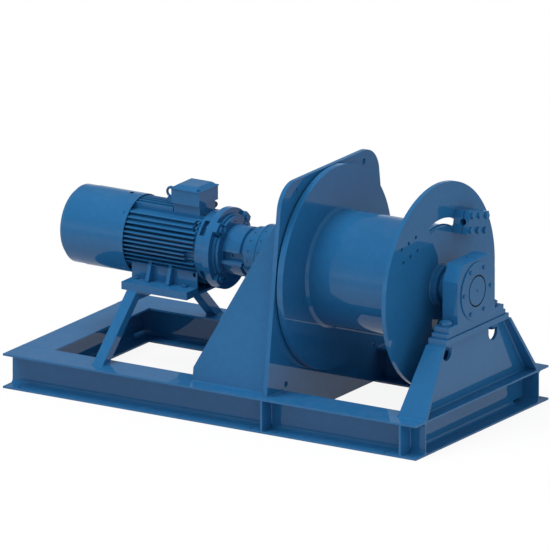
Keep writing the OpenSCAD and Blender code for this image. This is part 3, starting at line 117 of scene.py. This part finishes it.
# Outlines of turned fittings: radius, height and, where it is a hexagon, half its width over flats
PLUG_RIM = [(0.0030, 0), (0.0052, 0), (0.0055, 0.0009), (0.0051, 0.0015), (0.0036, 0.0015),
            (0.0030, 0.0012)]
PLUG_SOCKET = [(0.0032, 0.0002, 0.0029), (0.0032, 0.0011, 0.0029), (0.0010, 0.0008, 0.0010)]
NIPPLE = [(0.0052, 0, 0.0045), (0.0052, 0.003, 0.0045), (0.0045, 0.0036, 0.0045), (0.0030, 0.0038),
          (0.0021, 0.0048), (0.0021, 0.0056), (0.0029, 0.0066), (0.0030, 0.0074),
          (0.0020, 0.0084), (0.0008, 0.0086), (0.0007, 0.0081)]
NIPPLE_X = 0.949
NIPPLE_SINK = 0.0005
COWL_PLUG = [(0.0088, -0.0006), (0.0088, 0.0006), (0.0080, 0.0014), (0.0060, 0.0016), (0.0052, 0.0010),
             (0.0020, 0.0010)]
COWL_PLUG_X = -0.715

# Weld seams: leg, step along the seam, steps in a ripple
SEAM_LEG = 0.006
FLAT_SEAM_LEG = 0.005
FLAT_SEAM_CROWN = (0, 0, 0.0022)
STIFFENER_LEG = 0.004
SEAM_STEP = 0.002
RIPPLE = 3
SEAM_SHARP = math.radians(75)

# Drum axis, along X
AXIS_Z = frame["joints"][0]["pos_m"][2]
UP = Vector((0, 0, 1))
ABOVE = 1.0


class Signal:
    """An output socket of a node tree. Arithmetic on it adds Math nodes."""

    def __init__(self, tree, socket):
        self.tree = tree
        self.socket = socket

    def add(self, kind, settings=None, sockets=None, out=0):
        """Adds a node of a kind: its settings first, then its sockets' values or links."""
        node = self.tree.nodes.new(kind if "Node" in kind else "ShaderNode" + kind)
        for key, value in (settings or {}).items():
            if key == "stops":
                set_stops(node.color_ramp, value)
            else:
                setattr(node, key, value)
        for key, value in (sockets or {}).items():
            if isinstance(value, Signal):
                self.tree.links.new(value.socket, node.inputs[key])
            else:
                node.inputs[key].default_value = value
        return Signal(self.tree, node.outputs[out]) if node.outputs else None

    def math(self, operation, first, second=0.0):
        return self.add("Math", {"operation": operation}, {0: first, 1: second})

    def __add__(self, other):
        return self.math("ADD", self, other)

    __radd__ = __add__

    def __mul__(self, other):
        return self.math("MULTIPLY", self, other)

    __rmul__ = __mul__

    def __sub__(self, other):
        return self.math("SUBTRACT", self, other)

    def __rsub__(self, other):
        return self.math("SUBTRACT", other, self)

    def clamp(self):
        return self.add("Math", {"operation": "ADD", "use_clamp": True}, {0: self, 1: 0.0})

    def between(self, low, high):
        """0 below low, 1 above high, smooth in between."""
        return self.add("MapRange", {"interpolation_type": "SMOOTHSTEP"},
                        {"Value": self, "From Min": low, "From Max": high})

    def blend(self, low_colour, high_colour):
        """The first colour where this signal is 0, the second where it is 1."""
        return self.add("Mix", {"data_type": "RGBA"}, {0: self, 6: low_colour, 7: high_colour}, 2)


def set_stops(ramp, stops):
    """Gives a colour ramp its stops, as pairs of place and colour."""
    for element, (place, colour) in zip(ramp.elements, stops[:2]):
        element.position = place
        element.color = colour
    for place, colour in stops[2:]:
        ramp.elements.new(place).color = colour


class Finish:
    """A material whose pattern is built from signals, in the metres of the piece that wears it."""

    def __init__(self, name):
        self.material = bpy.data.materials.new(name)
        self.material.use_nodes = True
        self.tree = self.material.node_tree
        self.shader = self.tree.nodes["Principled BSDF"]
        self.start = Signal(self.tree, None)
        self.here = self.start.add("TexCoord", out="Object")

    def cloud(self, scale, detail=2.0, roughness=0.5, stretch=None):
        """Noise with features of about 1 / scale metres."""
        place = self.here
        if stretch:
            place = self.start.add("Mapping", None, {"Vector": self.here, "Scale": stretch})
        return self.start.add("TexNoise", None, {"Vector": place, "Scale": scale,
                                                 "Detail": detail, "Roughness": roughness})

    def facing_up(self):
        """Height of the surface's normal, 1 where it faces up."""
        normal = self.start.add("NewGeometry", out="Normal")
        return self.start.add("SeparateXYZ", None, {0: normal}, 2)

    def wear(self, **sockets):
        """Sets the shader's sockets; a name's underscores stand for spaces."""
        for key, value in sockets.items():
            socket = self.shader.inputs[key.replace("_", " ")]
            if isinstance(value, Signal):
                self.tree.links.new(value.socket, socket)
            else:
                socket.default_value = value

    def bump(self, height, distance, strength=1.0):
        self.wear(Normal=self.start.add("Bump", None, {"Height": height, "Distance": distance,
                                                       "Strength": strength}))


def blue_paint():
    """Glossy two-coat machine enamel: faint orange peel, slow drifts in shade, a little settled dust."""
    f = Finish("blue_paint")
    drift = f.cloud(2.5, 3.0).between(0.3, 0.7)
    mottle = f.cloud(38.0, 4.0).between(0.35, 0.65)
    shade = drift.blend((0.0190, 0.133, 0.316, 1), (0.0206, 0.145, 0.344, 1))
    grain = mottle.blend((0.94, 0.95, 0.96, 1), (1, 1, 1, 1))
    colour = f.start.add("Mix", {"data_type": "RGBA", "blend_type": "MULTIPLY"},
                         {0: 1.0, 6: shade, 7: grain}, 2)
    dust = f.facing_up().between(0.75, 1.0) * f.cloud(14.0, 6.0, 0.65).between(0.40, 0.80) * 0.10
    f.wear(Base_Color=dust.blend(colour, (0.20, 0.24, 0.28, 1)),
           Roughness=0.42 + dust * 1.5 - mottle * 0.06,
           Specular_IOR_Level=0.0,
           Coat_Weight=0.6,
           Coat_Roughness=0.02,
           Coat_IOR=1.5)
    f.bump(f.cloud(260.0, 1.0) * 0.6 + f.cloud(45.0, 1.0) * 0.4, 0.00012, 0.25)
    return f.material


def machined_steel():
    """Turned and ground steel with fine tool marks and a film of oil."""
    f = Finish("machined_steel")
    marks = f.cloud(900.0, 2.0, 0.6, (1.0, 0.06, 0.06))
    film = f.cloud(22.0, 3.0).between(0.35, 0.7)
    f.wear(Base_Color=film.blend((0.56, 0.57, 0.58, 1), (0.42, 0.41, 0.39, 1)),
           Metallic=1.0,
           Roughness=0.22 + marks * 0.14 + film * 0.08)
    f.bump(marks, 0.00006, 0.5)
    return f.material


def seal_rubber():
    """Black nitrile rubber, satin, with a fine moulded grain."""
    f = Finish("seal_rubber")
    grain = f.cloud(1400.0, 2.0)
    f.wear(Base_Color=f.cloud(60.0, 3.0).blend((0.006, 0.005, 0.005, 1), (0.011, 0.009, 0.008, 1)),
           Roughness=0.70 + grain * 0.15,
           Specular_IOR_Level=0.2)
    f.bump(grain, 0.00005, 0.6)
    return f.material


def dark_plastic():
    """Dark blue-black glass-filled nylon with its moulded grain."""
    f = Finish("dark_plastic")
    grain = f.cloud(2200.0, 3.0, 0.7)
    f.wear(Base_Color=f.cloud(90.0, 4.0).blend((0.005, 0.012, 0.022, 1), (0.009, 0.019, 0.034, 1)),
           Roughness=0.45 + grain * 0.2,
           Specular_IOR_Level=0.3)
    f.bump(grain, 0.00006, 0.7)
    return f.material


def oxide_and_painted_shade():
    """Near-black steel with a trace of rust: the rust is the metal's own, the near-black is painted shade standing
    in for the dark of a deep socket.
    """
    f = Finish("oxide_and_painted_shade")
    rust = f.cloud(700.0, 3.0).between(0.45, 0.7)
    # Painted shade: the near-black base stands in for the dark inside a deep hole; the rust spots are real.
    f.wear(Base_Color=rust.blend((0.020, 0.010, 0.009, 1), (0.055, 0.020, 0.014, 1)),
           Metallic=0.4,
           Roughness=0.5 + rust * 0.25)
    return f.material


def core_copper():
    """Lacquered copper windings on a dark laminated core."""
    f = Finish("core_copper")
    strands = f.cloud(420.0, 2.0, 0.5, (0.25, 1.0, 1.0))
    f.wear(Base_Color=strands.between(0.35, 0.65).blend((0.22, 0.075, 0.03, 1), (0.52, 0.22, 0.09, 1)),
           Metallic=0.85,
           Roughness=0.32 + strands * 0.2)
    f.bump(strands, 0.0004, 0.8)
    return f.material


FINISHES = {make.__name__: make() for make in
            (blue_paint, machined_steel, seal_rubber, dark_plastic, oxide_and_painted_shade, core_copper)}


def link(obj):
    scene.collection.objects.link(obj)
    return obj


def make_camera():
    """A camera that sees the frame's origin and scale where the photograph has them."""
    a, e = VIEW_AZIMUTH, VIEW_ELEVATION
    back = Vector((math.sin(a) * math.cos(e), -math.cos(a) * math.cos(e), math.sin(e)))
    right = Vector((math.cos(a), math.sin(a), 0))
    up = back.cross(right)
    middle = IMAGE_SIZE / 2
    aim = (right * (middle - ORIGIN_PIXEL[0]) + up * (ORIGIN_PIXEL[1] - middle)) / PIXELS_PER_METRE
    camera = bpy.data.cameras.new("camera")
    camera.sensor_width = 1000 * SENSOR_WIDTH
    camera.lens = 1000 * PIXELS_PER_METRE * SENSOR_WIDTH * CAMERA_DISTANCE / IMAGE_SIZE
    camera.clip_start = 1.0
    camera.clip_end = 4 * CAMERA_DISTANCE
    obj = link(bpy.data.objects.new("camera", camera))
    obj.location = aim + back * CAMERA_DISTANCE
    obj.rotation_euler = back.to_track_quat("Z", "Y").to_euler()
    scene.camera = obj


def seen_directly(start):
    """1 for rays from the camera and for what gloss and glass show of the studio."""
    camera, gloss, glass = [start.add("LightPath", out=name) for name in
                            ("Is Camera Ray", "Is Glossy Ray", "Is Transmission Ray")]
    return (camera + gloss + glass).clamp()


def make_world():
    """White to look at, a plain soft light for the object, and a grey upper sky in its gloss."""
    world = bpy.data.worlds.new("studio")
    world.use_nodes = True
    scene.world = world
    tree = world.node_tree
    start = Signal(tree, None)
    light = start.add("Background", None, {"Color": (1, 1, 1, 1), "Strength": WORLD_LIGHT})
    height = start.add("SeparateXYZ", None, {0: start.add("TexCoord", out="Generated")}, 2)
    sky = start.add("ValToRGB", {"stops": SKY_IN_GLOSS}, {0: height})
    gloss = start.add("LightPath", out="Is Glossy Ray")
    white = start.add("Background", None, {"Color": gloss.blend((1, 1, 1, 1), sky), "Strength": 1.0})
    both = start.add("MixShader", None, {0: seen_directly(start), 1: light, 2: white})
    tree.links.new(both.socket, tree.nodes["World Output"].inputs["Surface"])


def make_floor():
    """A white studio floor that keeps a pale shadow."""
    bm = bmesh.new()
    bmesh.ops.create_circle(bm, cap_ends=True, segments=96, radius=FLOOR_RADIUS)
    mesh = bpy.data.meshes.new("studio_floor")
    bm.to_mesh(mesh)
    bm.free()
    floor = link(bpy.data.objects.new("studio_floor", mesh))
    floor.location.z = -FLOOR_DROP
    f = Finish("studio_floor")
    camera, gloss = [f.start.add("LightPath", out=name) for name in ("Is Camera Ray", "Is Glossy Ray")]
    f.wear(Base_Color=camera.blend(FLOOR_LIT, FLOOR_SEEN), Roughness=0.9, Specular_IOR_Level=0.0)
    away = f.start.add("VectorMath", {"operation": "LENGTH"}, {0: f.here}, 1).between(*FLOOR_FADE)
    shade = (gloss * away).blend((1, 1, 1, 1), FLOOR_FAR)
    glow = f.start.add("Emission", None, {"Color": shade, "Strength": 1.0})
    matt = Signal(f.tree, f.shader.outputs[0])
    both = f.start.add("MixShader", None, {0: seen_directly(f.start) * FLOOR_GLOW, 1: matt, 2: glow})
    f.tree.links.new(both.socket, f.tree.nodes["Material Output"].inputs["Surface"])
    mesh.materials.append(f.material)


def make_lamps():
    """A wide soft lamp from above the motor's front and a weak one from the drum's end."""
    for name, strength, towards, softness in LAMPS:
        sun = bpy.data.lights.new(name, "SUN")
        sun.energy = strength
        sun.angle = softness
        obj = link(bpy.data.objects.new(name, sun))
        obj.rotation_euler = Vector(towards).to_track_quat("Z", "Y").to_euler()
        obj.visible_glossy = False


def dress_cad_nodes():
    """Each carried-over piece gets the finish of its slot."""
    slots = {part["node"]: part["material_slot"] for part in frame["record"]["subparts"]}
    for name, obj in frame["nodes"].items():
        finish = FINISHES[slots[name]]
        for slot in obj.material_slots:
            slot.material = finish
        if not obj.material_slots:
            obj.data.materials.append(finish)


def joined_corners():
    """Node group that joins the split corners of a carried-over mesh and smooths its gentle edges."""
    group = bpy.data.node_groups.new("joined_corners", "GeometryNodeTree")
    for way in ("INPUT", "OUTPUT"):
        group.interface.new_socket("Geometry", in_out=way, socket_type="NodeSocketGeometry")
    start = Signal(group, None)
    mesh = start.add("NodeGroupInput")
    mesh = start.add("GeometryNodeRemoveAttribute", None, {"Geometry": mesh, "Name": "custom_normal"})
    mesh = start.add("GeometryNodeMergeByDistance", None, {"Geometry": mesh, "Distance": SAME_CORNER})
    angle = start.add("GeometryNodeInputMeshEdgeAngle")
    gentle = start.add("FunctionNodeCompare", {"data_type": "FLOAT", "operation": "LESS_THAN"},
                       {0: angle, 1: GENTLE_EDGE})
    mesh = start.add("GeometryNodeSetShadeSmooth", {"domain": "FACE"},
                     {"Geometry": mesh, "Shade Smooth": True})
    mesh = start.add("GeometryNodeSetShadeSmooth", {"domain": "EDGE"},
                     {"Geometry": mesh, "Shade Smooth": gentle})
    start.add("NodeGroupOutput", None, {"Geometry": mesh})
    return group


def break_edges():
    """Small rounded edges on every piece that shows, as paint leaves them."""
    group = joined_corners()
    for name, obj in frame["nodes"].items():
        if name in HIDDEN_INSIDE:
            continue
        obj.modifiers.new("joined_corners", "NODES").node_group = group
        flat = obj.modifiers.new("flat_faces", "DECIMATE")
        flat.decimate_type = "DISSOLVE"
        flat.angle_limit = FLAT_ENOUGH
        edge = obj.modifiers.new("broken_edges", "BEVEL")
        edge.width = EDGES.get(name, PLATE_EDGE)
        edge.segments = 2
        edge.limit_method = "ANGLE"
        edge.angle_limit = BEVELLED_EDGE
        edge.harden_normals = True
        edge.loop_slide = False


def place_at(point, way, spin=0.0):
    """A placement whose Z axis points along a way from a point."""
    turn = Vector(way).to_track_quat("Z", "Y").to_matrix().to_4x4()
    return Matrix.Translation(point) @ turn @ Matrix.Rotation(spin, 4, "Z")


class Shape:
    """Skins rings of points into one mesh and stands it in the scene."""

    def __init__(self):
        self.bm = bmesh.new()

    def skin(self, rings, closed=False):
        """Faces from ring to ring. The ends are closed over, or joined if the rings run round."""
        rows = [[self.bm.verts.new(point) for point in ring] for ring in rings]
        for a, b in zip(rows, rows[1:] + (rows[:1] if closed else [])):
            for i, corner in enumerate(a):
                j = (i + 1) % len(a)
                self.bm.faces.new((corner, a[j], b[j], b[i]))
        if not closed:
            self.bm.faces.new(rows[0])
            self.bm.faces.new(rows[-1])

    def turn(self, outline, place, count=32, closed=False, rib=0.0):
        """Turns (radius, height) points round the placement's Z axis. A third number is the
        distance of a hexagon's flats, which cut the radius off; rib raises every second column."""
        rings = []
        for radius, height, *flat in outline:
            ring = []
            for i in range(count):
                angle = 2 * math.pi * i / count
                r = radius * (1 + rib * (i % 4 // 2))
                if flat:
                    r = min(r, flat[0] / math.cos((angle + math.pi / 6) % (math.pi / 3) - math.pi / 6))
                ring.append(place @ Vector((r * math.cos(angle), r * math.sin(angle), height)))
            rings.append(ring)
        self.skin(rings, closed)

    def stand(self, name, finish, body, *nodes, sharp=math.radians(28)):
        """The piece goes with a body and stands for the CAD nodes named."""
        bmesh.ops.recalc_face_normals(self.bm, faces=self.bm.faces)
        for face in self.bm.faces:
            face.smooth = True
        for edge in self.bm.edges:
            edge.smooth = len(edge.link_faces) == 2 and edge.calc_face_angle() < sharp
        mesh = bpy.data.meshes.new(name)
        self.bm.to_mesh(mesh)
        self.bm.free()
        mesh.materials.append(FINISHES[finish])
        obj = link(bpy.data.objects.new(name, mesh))
        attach(obj, body)
        if nodes:
            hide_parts(*nodes)
        return obj


def solids(node):
    """The corners of each loose solid in a CAD node's mesh."""
    bm = bmesh.new()
    bm.from_mesh(frame["nodes"][node].data)
    bmesh.ops.remove_doubles(bm, verts=bm.verts, dist=SAME_CORNER)
    bm.verts.ensure_lookup_table()
    seen, found = set(), []
    for first in bm.verts:
        if first in seen:
            continue
        seen.add(first)
        todo, points = [first], []
        while todo:
            corner = todo.pop()
            points.append(corner.co.copy())
            for edge in corner.link_edges:
                other = edge.other_vert(corner)
                if other not in seen:
                    seen.add(other)
                    todo.append(other)
        found.append(points)
    bm.free()
    return found


def box_of(points):
    return [Vector(pick(p[i] for p in points) for i in range(3)) for pick in (min, max)]


def hexagon(shape, place, corner_r, height, dish=True):
    """Hexagon head or nut, chamfered above, on a washer. corner_r is its radius over the corners."""
    flats = corner_r * math.cos(math.pi / 6)
    crown = 0.95 * flats
    washer = 0.16 * height
    slope = math.tan(math.radians(30))
    rim = 0.3 * washer
    wide = 1.04 * corner_r
    shape.turn([(wide - rim, 0), (wide, rim), (wide, washer - rim), (wide - rim, washer)], place, 48)
    outline = [(crown, washer * 0.98), (corner_r, washer + (corner_r - crown) * slope * 0.5, flats)]
    for step in range(5):
        r = corner_r + (crown - corner_r) * step / 4
        outline.append((r, height - (r - crown) * slope, flats))
    if dish:
        outline += [(0.74 * flats, height, flats), (0.68 * flats, height - 0.04 * corner_r, flats)]
    shape.turn(outline, place, 48)


def pan_head(shape, place, radius, height):
    """Low round head with a hexagon socket."""
    outline = [(radius, 0), (radius, 0.35 * height), (0.94 * radius, 0.7 * height),
               (0.78 * radius, 0.93 * height), (0.55 * radius, height), (0.46 * radius, height),
               (0.42 * radius, 0.95 * height, 0.38 * radius), (0.42 * radius, 0.4 * height, 0.38 * radius)]
    shape.turn(outline, place, 36)


def thread(shape, place, radius, length, turns):
    """A shank from its free end: chamfer, some turns of thread, then plain."""
    pitch = 0.24 * radius
    outline = [(0.78 * radius, 0), (0.86 * radius, 0.25 * pitch)]
    for turn in range(turns):
        outline += [(radius, (turn + 0.75) * pitch), (0.87 * radius, (turn + 1.25) * pitch)]
    outline += [(radius, (turns + 0.75) * pitch), (radius, length)]
    shape.turn(outline, place, 28)


def fasteners(shape, node, way):
    """Rebuilds each CAD bolt of a node from its own levels: heads, nuts, washers and thread ends."""
    for number, points in enumerate(solids(node)):
        low, high = box_of(points)
        centre = (low + high) / 2
        along = Vector(way)
        reach = {}
        for point in points:
            arm = point - centre
            level = round(arm.dot(along), 4)
            reach[level] = max(reach.get(level, 0), (arm - along * arm.dot(along)).length)
        shank = reach[min(reach, key=reach.get)]
        if reach[max(reach)] < HEAD_TO_SHANK * shank:
            along = -along
            reach = {-level: r for level, r in reach.items()}
        levels = sorted(reach)
        wide = [level for level in levels if reach[level] > HEAD_TO_SHANK * shank]
        for a, b in zip(wide[::2], wide[1::2]):
            nut = a - levels[0] < levels[-1] - b
            seat, out = (b, -along) if nut else (a, along)
            place = place_at(centre + along * seat, out, 0.4 * number)
            hexagon(shape, place, reach[a], b - a, dish=not nut)
        thread(shape, place_at(centre + along * levels[0], along), shank,
               levels[-1] - levels[0] - THREAD_END, THREAD_TURNS)


def make_fasteners():
    for node in ("cover_bolts", "housing_bolts", "motor_foot_bolts", "motor_flange_bolts", "gearbox_bolts",
                 "clamp_bolts"):
        shape = Shape()
        fasteners(shape, node, (0, 0, 1) if node in ("housing_bolts", "motor_foot_bolts") else (1, 0, 0))
        if node == "motor_foot_bolts":
            for side in (-1, 1):
                foot_bolt_end(shape, side)
        shape.stand(node + "_in_full", "blue_paint", "drum" if node == "clamp_bolts" else "frame", node)
    shape = Shape()
    screws(shape)
    shape.stand("small_screws_in_full", "blue_paint", "frame", "small_screws")


def foot_bolt_end(shape, side):
    """Nut and thread end below the plate at the motor's drive end, where no tube is in the way."""
    low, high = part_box("motor_foot_bolts")
    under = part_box("motor_base_plate")[0][2]
    for points in solids("motor_foot_bolts"):
        middle = sum(box_of(points), Vector()) / 2
        if middle.x > (low[0] + high[0]) / 2 and middle.y * side > 0:
            seat = Vector((middle.x, middle.y, under))
            hexagon(shape, place_at(seat, -UP, 0.3), *FOOT_NUT, dish=False)
            thread(shape, place_at(seat - UP * FOOT_THREAD_REACH, UP), *FOOT_THREAD, 7)


def screws(shape):
    """Pan heads: four straight down through the lid, four square to the round cowl."""
    for points in solids("small_screws"):
        low, high = box_of(points)
        centre = (low + high) / 2
        upright = high.z > AXIS_Z + 0.2
        along = Vector((0, 0, 1)) if upright else Vector((0, centre.y, centre.z - AXIS_Z)).normalized()
        top = max((point - centre).dot(along) for point in points)
        radius, height = SCREW_HEAD
        pan_head(shape, place_at(centre + along * (top - height), along, 0.5), radius, height)


def stations(start, end, along_a, along_b):
    """Places along a straight corner, for a seam."""
    start, end = Vector(start), Vector(end)
    count = max(4, round((end - start).length / SEAM_STEP))
    return [(start.lerp(end, i / count), Vector(along_a), Vector(along_b)) for i in range(count + 1)]


def round_stations(x, radius, way):
    """Places round the drum's axis where a disc's face meets a barrel."""
    count = RIPPLE * round(2 * math.pi * radius / SEAM_STEP / RIPPLE)
    found = []
    for i in range(count):
        angle = 2 * math.pi * i / count
        out = Vector((0, math.cos(angle), math.sin(angle)))
        found.append((Vector((x, 0, AXIS_Z)) + out * radius, Vector((way, 0, 0)), out))
    return found


def seam(shape, places, leg=SEAM_LEG, crown=(0, 0, 0), closed=False):
    """A weld seam with its ripples, filling the corner between two faces."""
    rings = []
    last = len(places) - 1
    crown = Vector(crown)
    for i, (corner, along_a, along_b) in enumerate(places):
        size = leg * (1 + 0.09 * math.cos(2 * math.pi * i / RIPPLE))
        if not closed:
            size *= min(1, 0.45 + 0.28 * min(i, last - i))
        a, b = along_a * size, along_b * size
        pull = (a + b) * 0.8 + crown
        ring = [corner - (a + b) * 0.06 - crown * 0.3]
        for t in (0, 0.25, 0.5, 0.75, 1):
            ring.append(corner + a * (1 - t) ** 2 + pull * 2 * t * (1 - t) + b * t * t)
        rings.append(ring)
    shape.skin(rings, closed)


def on_plane(node, axis, value):
    """Box of the corners that a CAD node has on a plane across an axis."""
    return box_of([v.co for v in frame["nodes"][node].data.vertices if abs(v.co[axis] - value) < ON_PLANE])


def lean_of(node, low_z, high_z):
    """Way up along a leaning plate or leg, from its sections at two heights."""
    foot = sum(v.y for v in on_plane(node, 2, low_z)) / 2
    head = sum(v.y for v in on_plane(node, 2, high_z)) / 2
    return Vector((0, head - foot, high_z - low_z)).normalized()


def plate_seams(shape, side, name, top):
    """Main plate on a long beam, and the gusset on both of them."""
    beam_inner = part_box("front_beam")[1][1]
    plate_lo, plate_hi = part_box("main_plate")
    for x, way in ((plate_lo[0], -1), (plate_hi[0], 1)):
        seam(shape, stations((x, -side * beam_inner, top), (x, side * plate_hi[1], top), (way, 0, 0), UP))
    lo, hi = on_plane(name + "_gusset", 2, top)
    a, b = on_plane(name + "_gusset", 0, plate_lo[0])
    thick = hi.y - lo.y
    rise = Vector((0, -side * (b.y - a.y - thick), b.z - a.z)).normalized()
    across = Vector((0, side * rise.z, abs(rise.y)))
    for outer in (1, -1):
        foot_y = hi.y if side * outer > 0 else lo.y
        seam(shape, stations((lo.x, foot_y, top), (hi.x, foot_y, top), (0, side * outer, 0), rise))
        y0 = max(abs(a.y), abs(b.y)) - (0 if outer > 0 else thick)
        y1 = min(abs(a.y), abs(b.y)) + (thick if outer > 0 else 0)
        seam(shape, stations((plate_lo[0], side * y0, a.z), (plate_lo[0], side * y1, b.z),
                             (-1, 0, 0), across * outer))


def post_seams(shape, node, top, beam_end):
    """Foot of a leaning leg or plate on a long beam."""
    lo, hi = on_plane(node, 2, top)
    rise = lean_of(node, top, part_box(node)[1][2])
    for y, way in ((hi.y, 1), (lo.y, -1)):
        seam(shape, stations((lo.x, y, top), (hi.x, y, top), (0, way, 0), rise))
    for x, way in ((hi.x, 1), (lo.x, -1)):
        if abs(x) < beam_end - 0.001:
            seam(shape, stations((x, lo.y, top), (x, hi.y, top), (way, 0, 0), UP))


def pedestal_seams(shape, side, name, top):
    """Pedestal's web on the leaning plate, and the edge of its top plate."""
    node = "pedestal_" + name + "_plate"
    web_lo, web_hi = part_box("pedestal_web")
    head = web_hi[2]
    rise = lean_of(node, top, head)
    inner_foot, inner_head = (min(abs(v.y) for v in on_plane(node, 2, z)) for z in (top, head))
    for x, way in ((web_hi[0], 1), (web_lo[0], -1)):
        seam(shape, stations((x, side * inner_foot, top), (x, side * inner_head, head), (way, 0, 0),
                             (0, -side * rise.z, -abs(rise.y))))
    cap_lo, cap_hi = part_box("pedestal_top_plate")
    seam(shape, stations((cap_lo[0], side * cap_hi[1], head), (cap_hi[0], side * cap_hi[1], head),
                         (0, side, 0), UP))


def stiffener_seams(shape):
    """Both sides of each stiffener: along the beam's web and along its two flanges."""
    for points in solids("web_stiffeners"):
        lo, hi = box_of(points)
        side = 1 if lo.y > 0 else -1
        inner = lo.y if side > 0 else hi.y
        corner = min(abs(p.z - lo.z) for p in points if abs(p.y - inner) < ON_PLANE)
        outer = side * max(abs(lo.y), abs(hi.y))
        for x, way in ((lo.x, -1), (hi.x, 1)):
            seam(shape, stations((x, inner, lo.z + corner), (x, inner, hi.z - corner), (way, 0, 0),
                                 (0, side, 0)), STIFFENER_LEG)
            for z, rise in ((lo.z, 1), (hi.z, -1)):
                seam(shape, stations((x, inner + side * corner, z), (x, outer, z), (way, 0, 0),
                                     (0, 0, rise)), STIFFENER_LEG)


def frame_seams():
    """Seams of the base, plates, stand and pedestal."""
    shape = Shape()
    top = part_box("front_beam")[1][2]
    cross_lo, cross_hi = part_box("right_cross_beam")
    beam_inner = -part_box("front_beam")[1][1]
    for side, name in ((-1, "front"), (1, "rear")):
        plate_seams(shape, side, name, top)
        for node in ("stand_" + name + "_leg", "pedestal_" + name + "_plate"):
            post_seams(shape, node, top, cross_hi[0])
        pedestal_seams(shape, side, name, top)
        for sign in (-1, 1):
            ends = sorted((sign * cross_lo[0], sign * cross_hi[0]))
            seam(shape, stations((ends[0], side * beam_inner, top), (ends[1], side * beam_inner, top),
                                 (0, 1, 0), (0, -1, 0)), FLAT_SEAM_LEG, FLAT_SEAM_CROWN)
    web_lo, web_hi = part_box("pedestal_web")
    foot_y = on_plane("pedestal_web", 2, top)[1].y
    for x, way in ((web_hi[0], 1), (web_lo[0], -1)):
        seam(shape, stations((x, -foot_y, top), (x, foot_y, top), (way, 0, 0), UP))
    stiffener_seams(shape)
    shape.stand("frame_weld_seams", "blue_paint", "frame", sharp=SEAM_SHARP)


def drum_seams():
    """Seams of the barrel to the outer flange, and of that flange to the drum's shaft."""
    shape = Shape()
    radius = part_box("drum_barrel")[1][1]
    flange_lo, flange_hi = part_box("outer_flange")
    hub = max(math.hypot(v.co.y, v.co.z - AXIS_Z) for v in frame["nodes"]["drum_shaft"].data.vertices
              if v.co.x > flange_hi[0] + 0.01)
    seam(shape, round_stations(flange_lo[0], radius, -1), closed=True)
    seam(shape, round_stations(flange_hi[0], hub, 1), closed=True)
    shape.stand("drum_weld_seams", "blue_paint", "drum", sharp=SEAM_SHARP)


def surface_at(node, origin, way):
    """Where a ray meets a CAD node."""
    hit, place, _, _ = frame["nodes"][node].ray_cast(Vector(origin), Vector(way))
    if not hit:
        raise ValueError("no surface of " + node)
    return place


def gear_unit_plugs():
    """Two rings of small plugs round the gear unit's neck: blue-painted rims, and shallow sockets made near-black
    with painted shade.
    """
    rims, sockets = Shape(), Shape()
    for x, start in PLUG_RINGS:
        for i in range(PLUGS_IN_RING):
            angle = math.radians(start + 360 / PLUGS_IN_RING * i)
            out = Vector((0, -math.cos(angle), math.sin(angle)))
            place = surface_at("gearbox_housing", Vector((x, 0, AXIS_Z)) + out * ABOVE, -out)
            at = place_at(place - out * PLUG_SINK, out, 0.2 * i)
            rims.turn(PLUG_RIM, at, 28, closed=True)
            sockets.turn(PLUG_SOCKET, at, 28)
    rims.stand("gear_unit_plug_rims", "blue_paint", "frame")
    # The sockets wear painted shade: their near-black finish stands in for the dark of a deep hole.
    sockets.stand("gear_unit_plug_sockets", "oxide_and_painted_shade", "frame")


def grease_nipple():
    """Conical grease nipple on the bearing housing's top."""
    shape = Shape()
    place = surface_at("bearing_housing", (NIPPLE_X, 0, AXIS_Z + ABOVE), -UP)
    shape.turn(NIPPLE, place_at(place - UP * NIPPLE_SINK, UP), 36)
    shape.stand("grease_nipple", "blue_paint", "frame")


def cowl_plug():
    """Round rubber plug in the cowl's top, over the brake."""
    shape = Shape()
    place = surface_at("fan_cowl", (COWL_PLUG_X, 0, AXIS_Z + ABOVE), -UP)
    shape.turn(COWL_PLUG, place_at(place, UP), 40)
    shape.stand("cowl_plug", "seal_rubber", "frame")


def cable_gland():
    """Ribbed dome nut over the gland's body, bored through for the cable."""
    shape = Shape()
    lo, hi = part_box("cable_gland")
    middle = Vector(((lo[0] + hi[0]) / 2, lo[1], (lo[2] + hi[2]) / 2))
    at = place_at(middle, (0, 1, 0))
    deep = hi[1] - lo[1]
    bore = min(math.hypot(v.co.x - middle.x, v.co.z - middle.z)
               for v in frame["nodes"]["cable_gland"].data.vertices)
    flats = (hi[2] - lo[2]) / 2
    shape.turn([(bore, 0), (flats * 1.155, 0, flats), (flats * 1.155, 0.36 * deep, flats),
                (0.96 * flats, 0.40 * deep), (bore, 0.40 * deep)], at, 48, closed=True)
    nut = 0.93 * flats / 1.05
    shape.turn([(bore, 0.42 * deep), (nut, 0.42 * deep), (nut, 0.74 * deep), (0.93 * nut, 0.84 * deep),
                (0.82 * nut, 0.93 * deep), (bore + 0.0022, 0.985 * deep), (bore, deep)],
               at, 64, closed=True, rib=0.05)
    shape.stand("cable_gland_in_full", "dark_plastic", "frame", "cable_gland")


make_camera()
make_world()
make_floor()
make_lamps()
dress_cad_nodes()
break_edges()
make_fasteners()
frame_seams()
drum_seams()
gear_unit_plugs()
grease_nipple()
cowl_plug()
cable_gland()
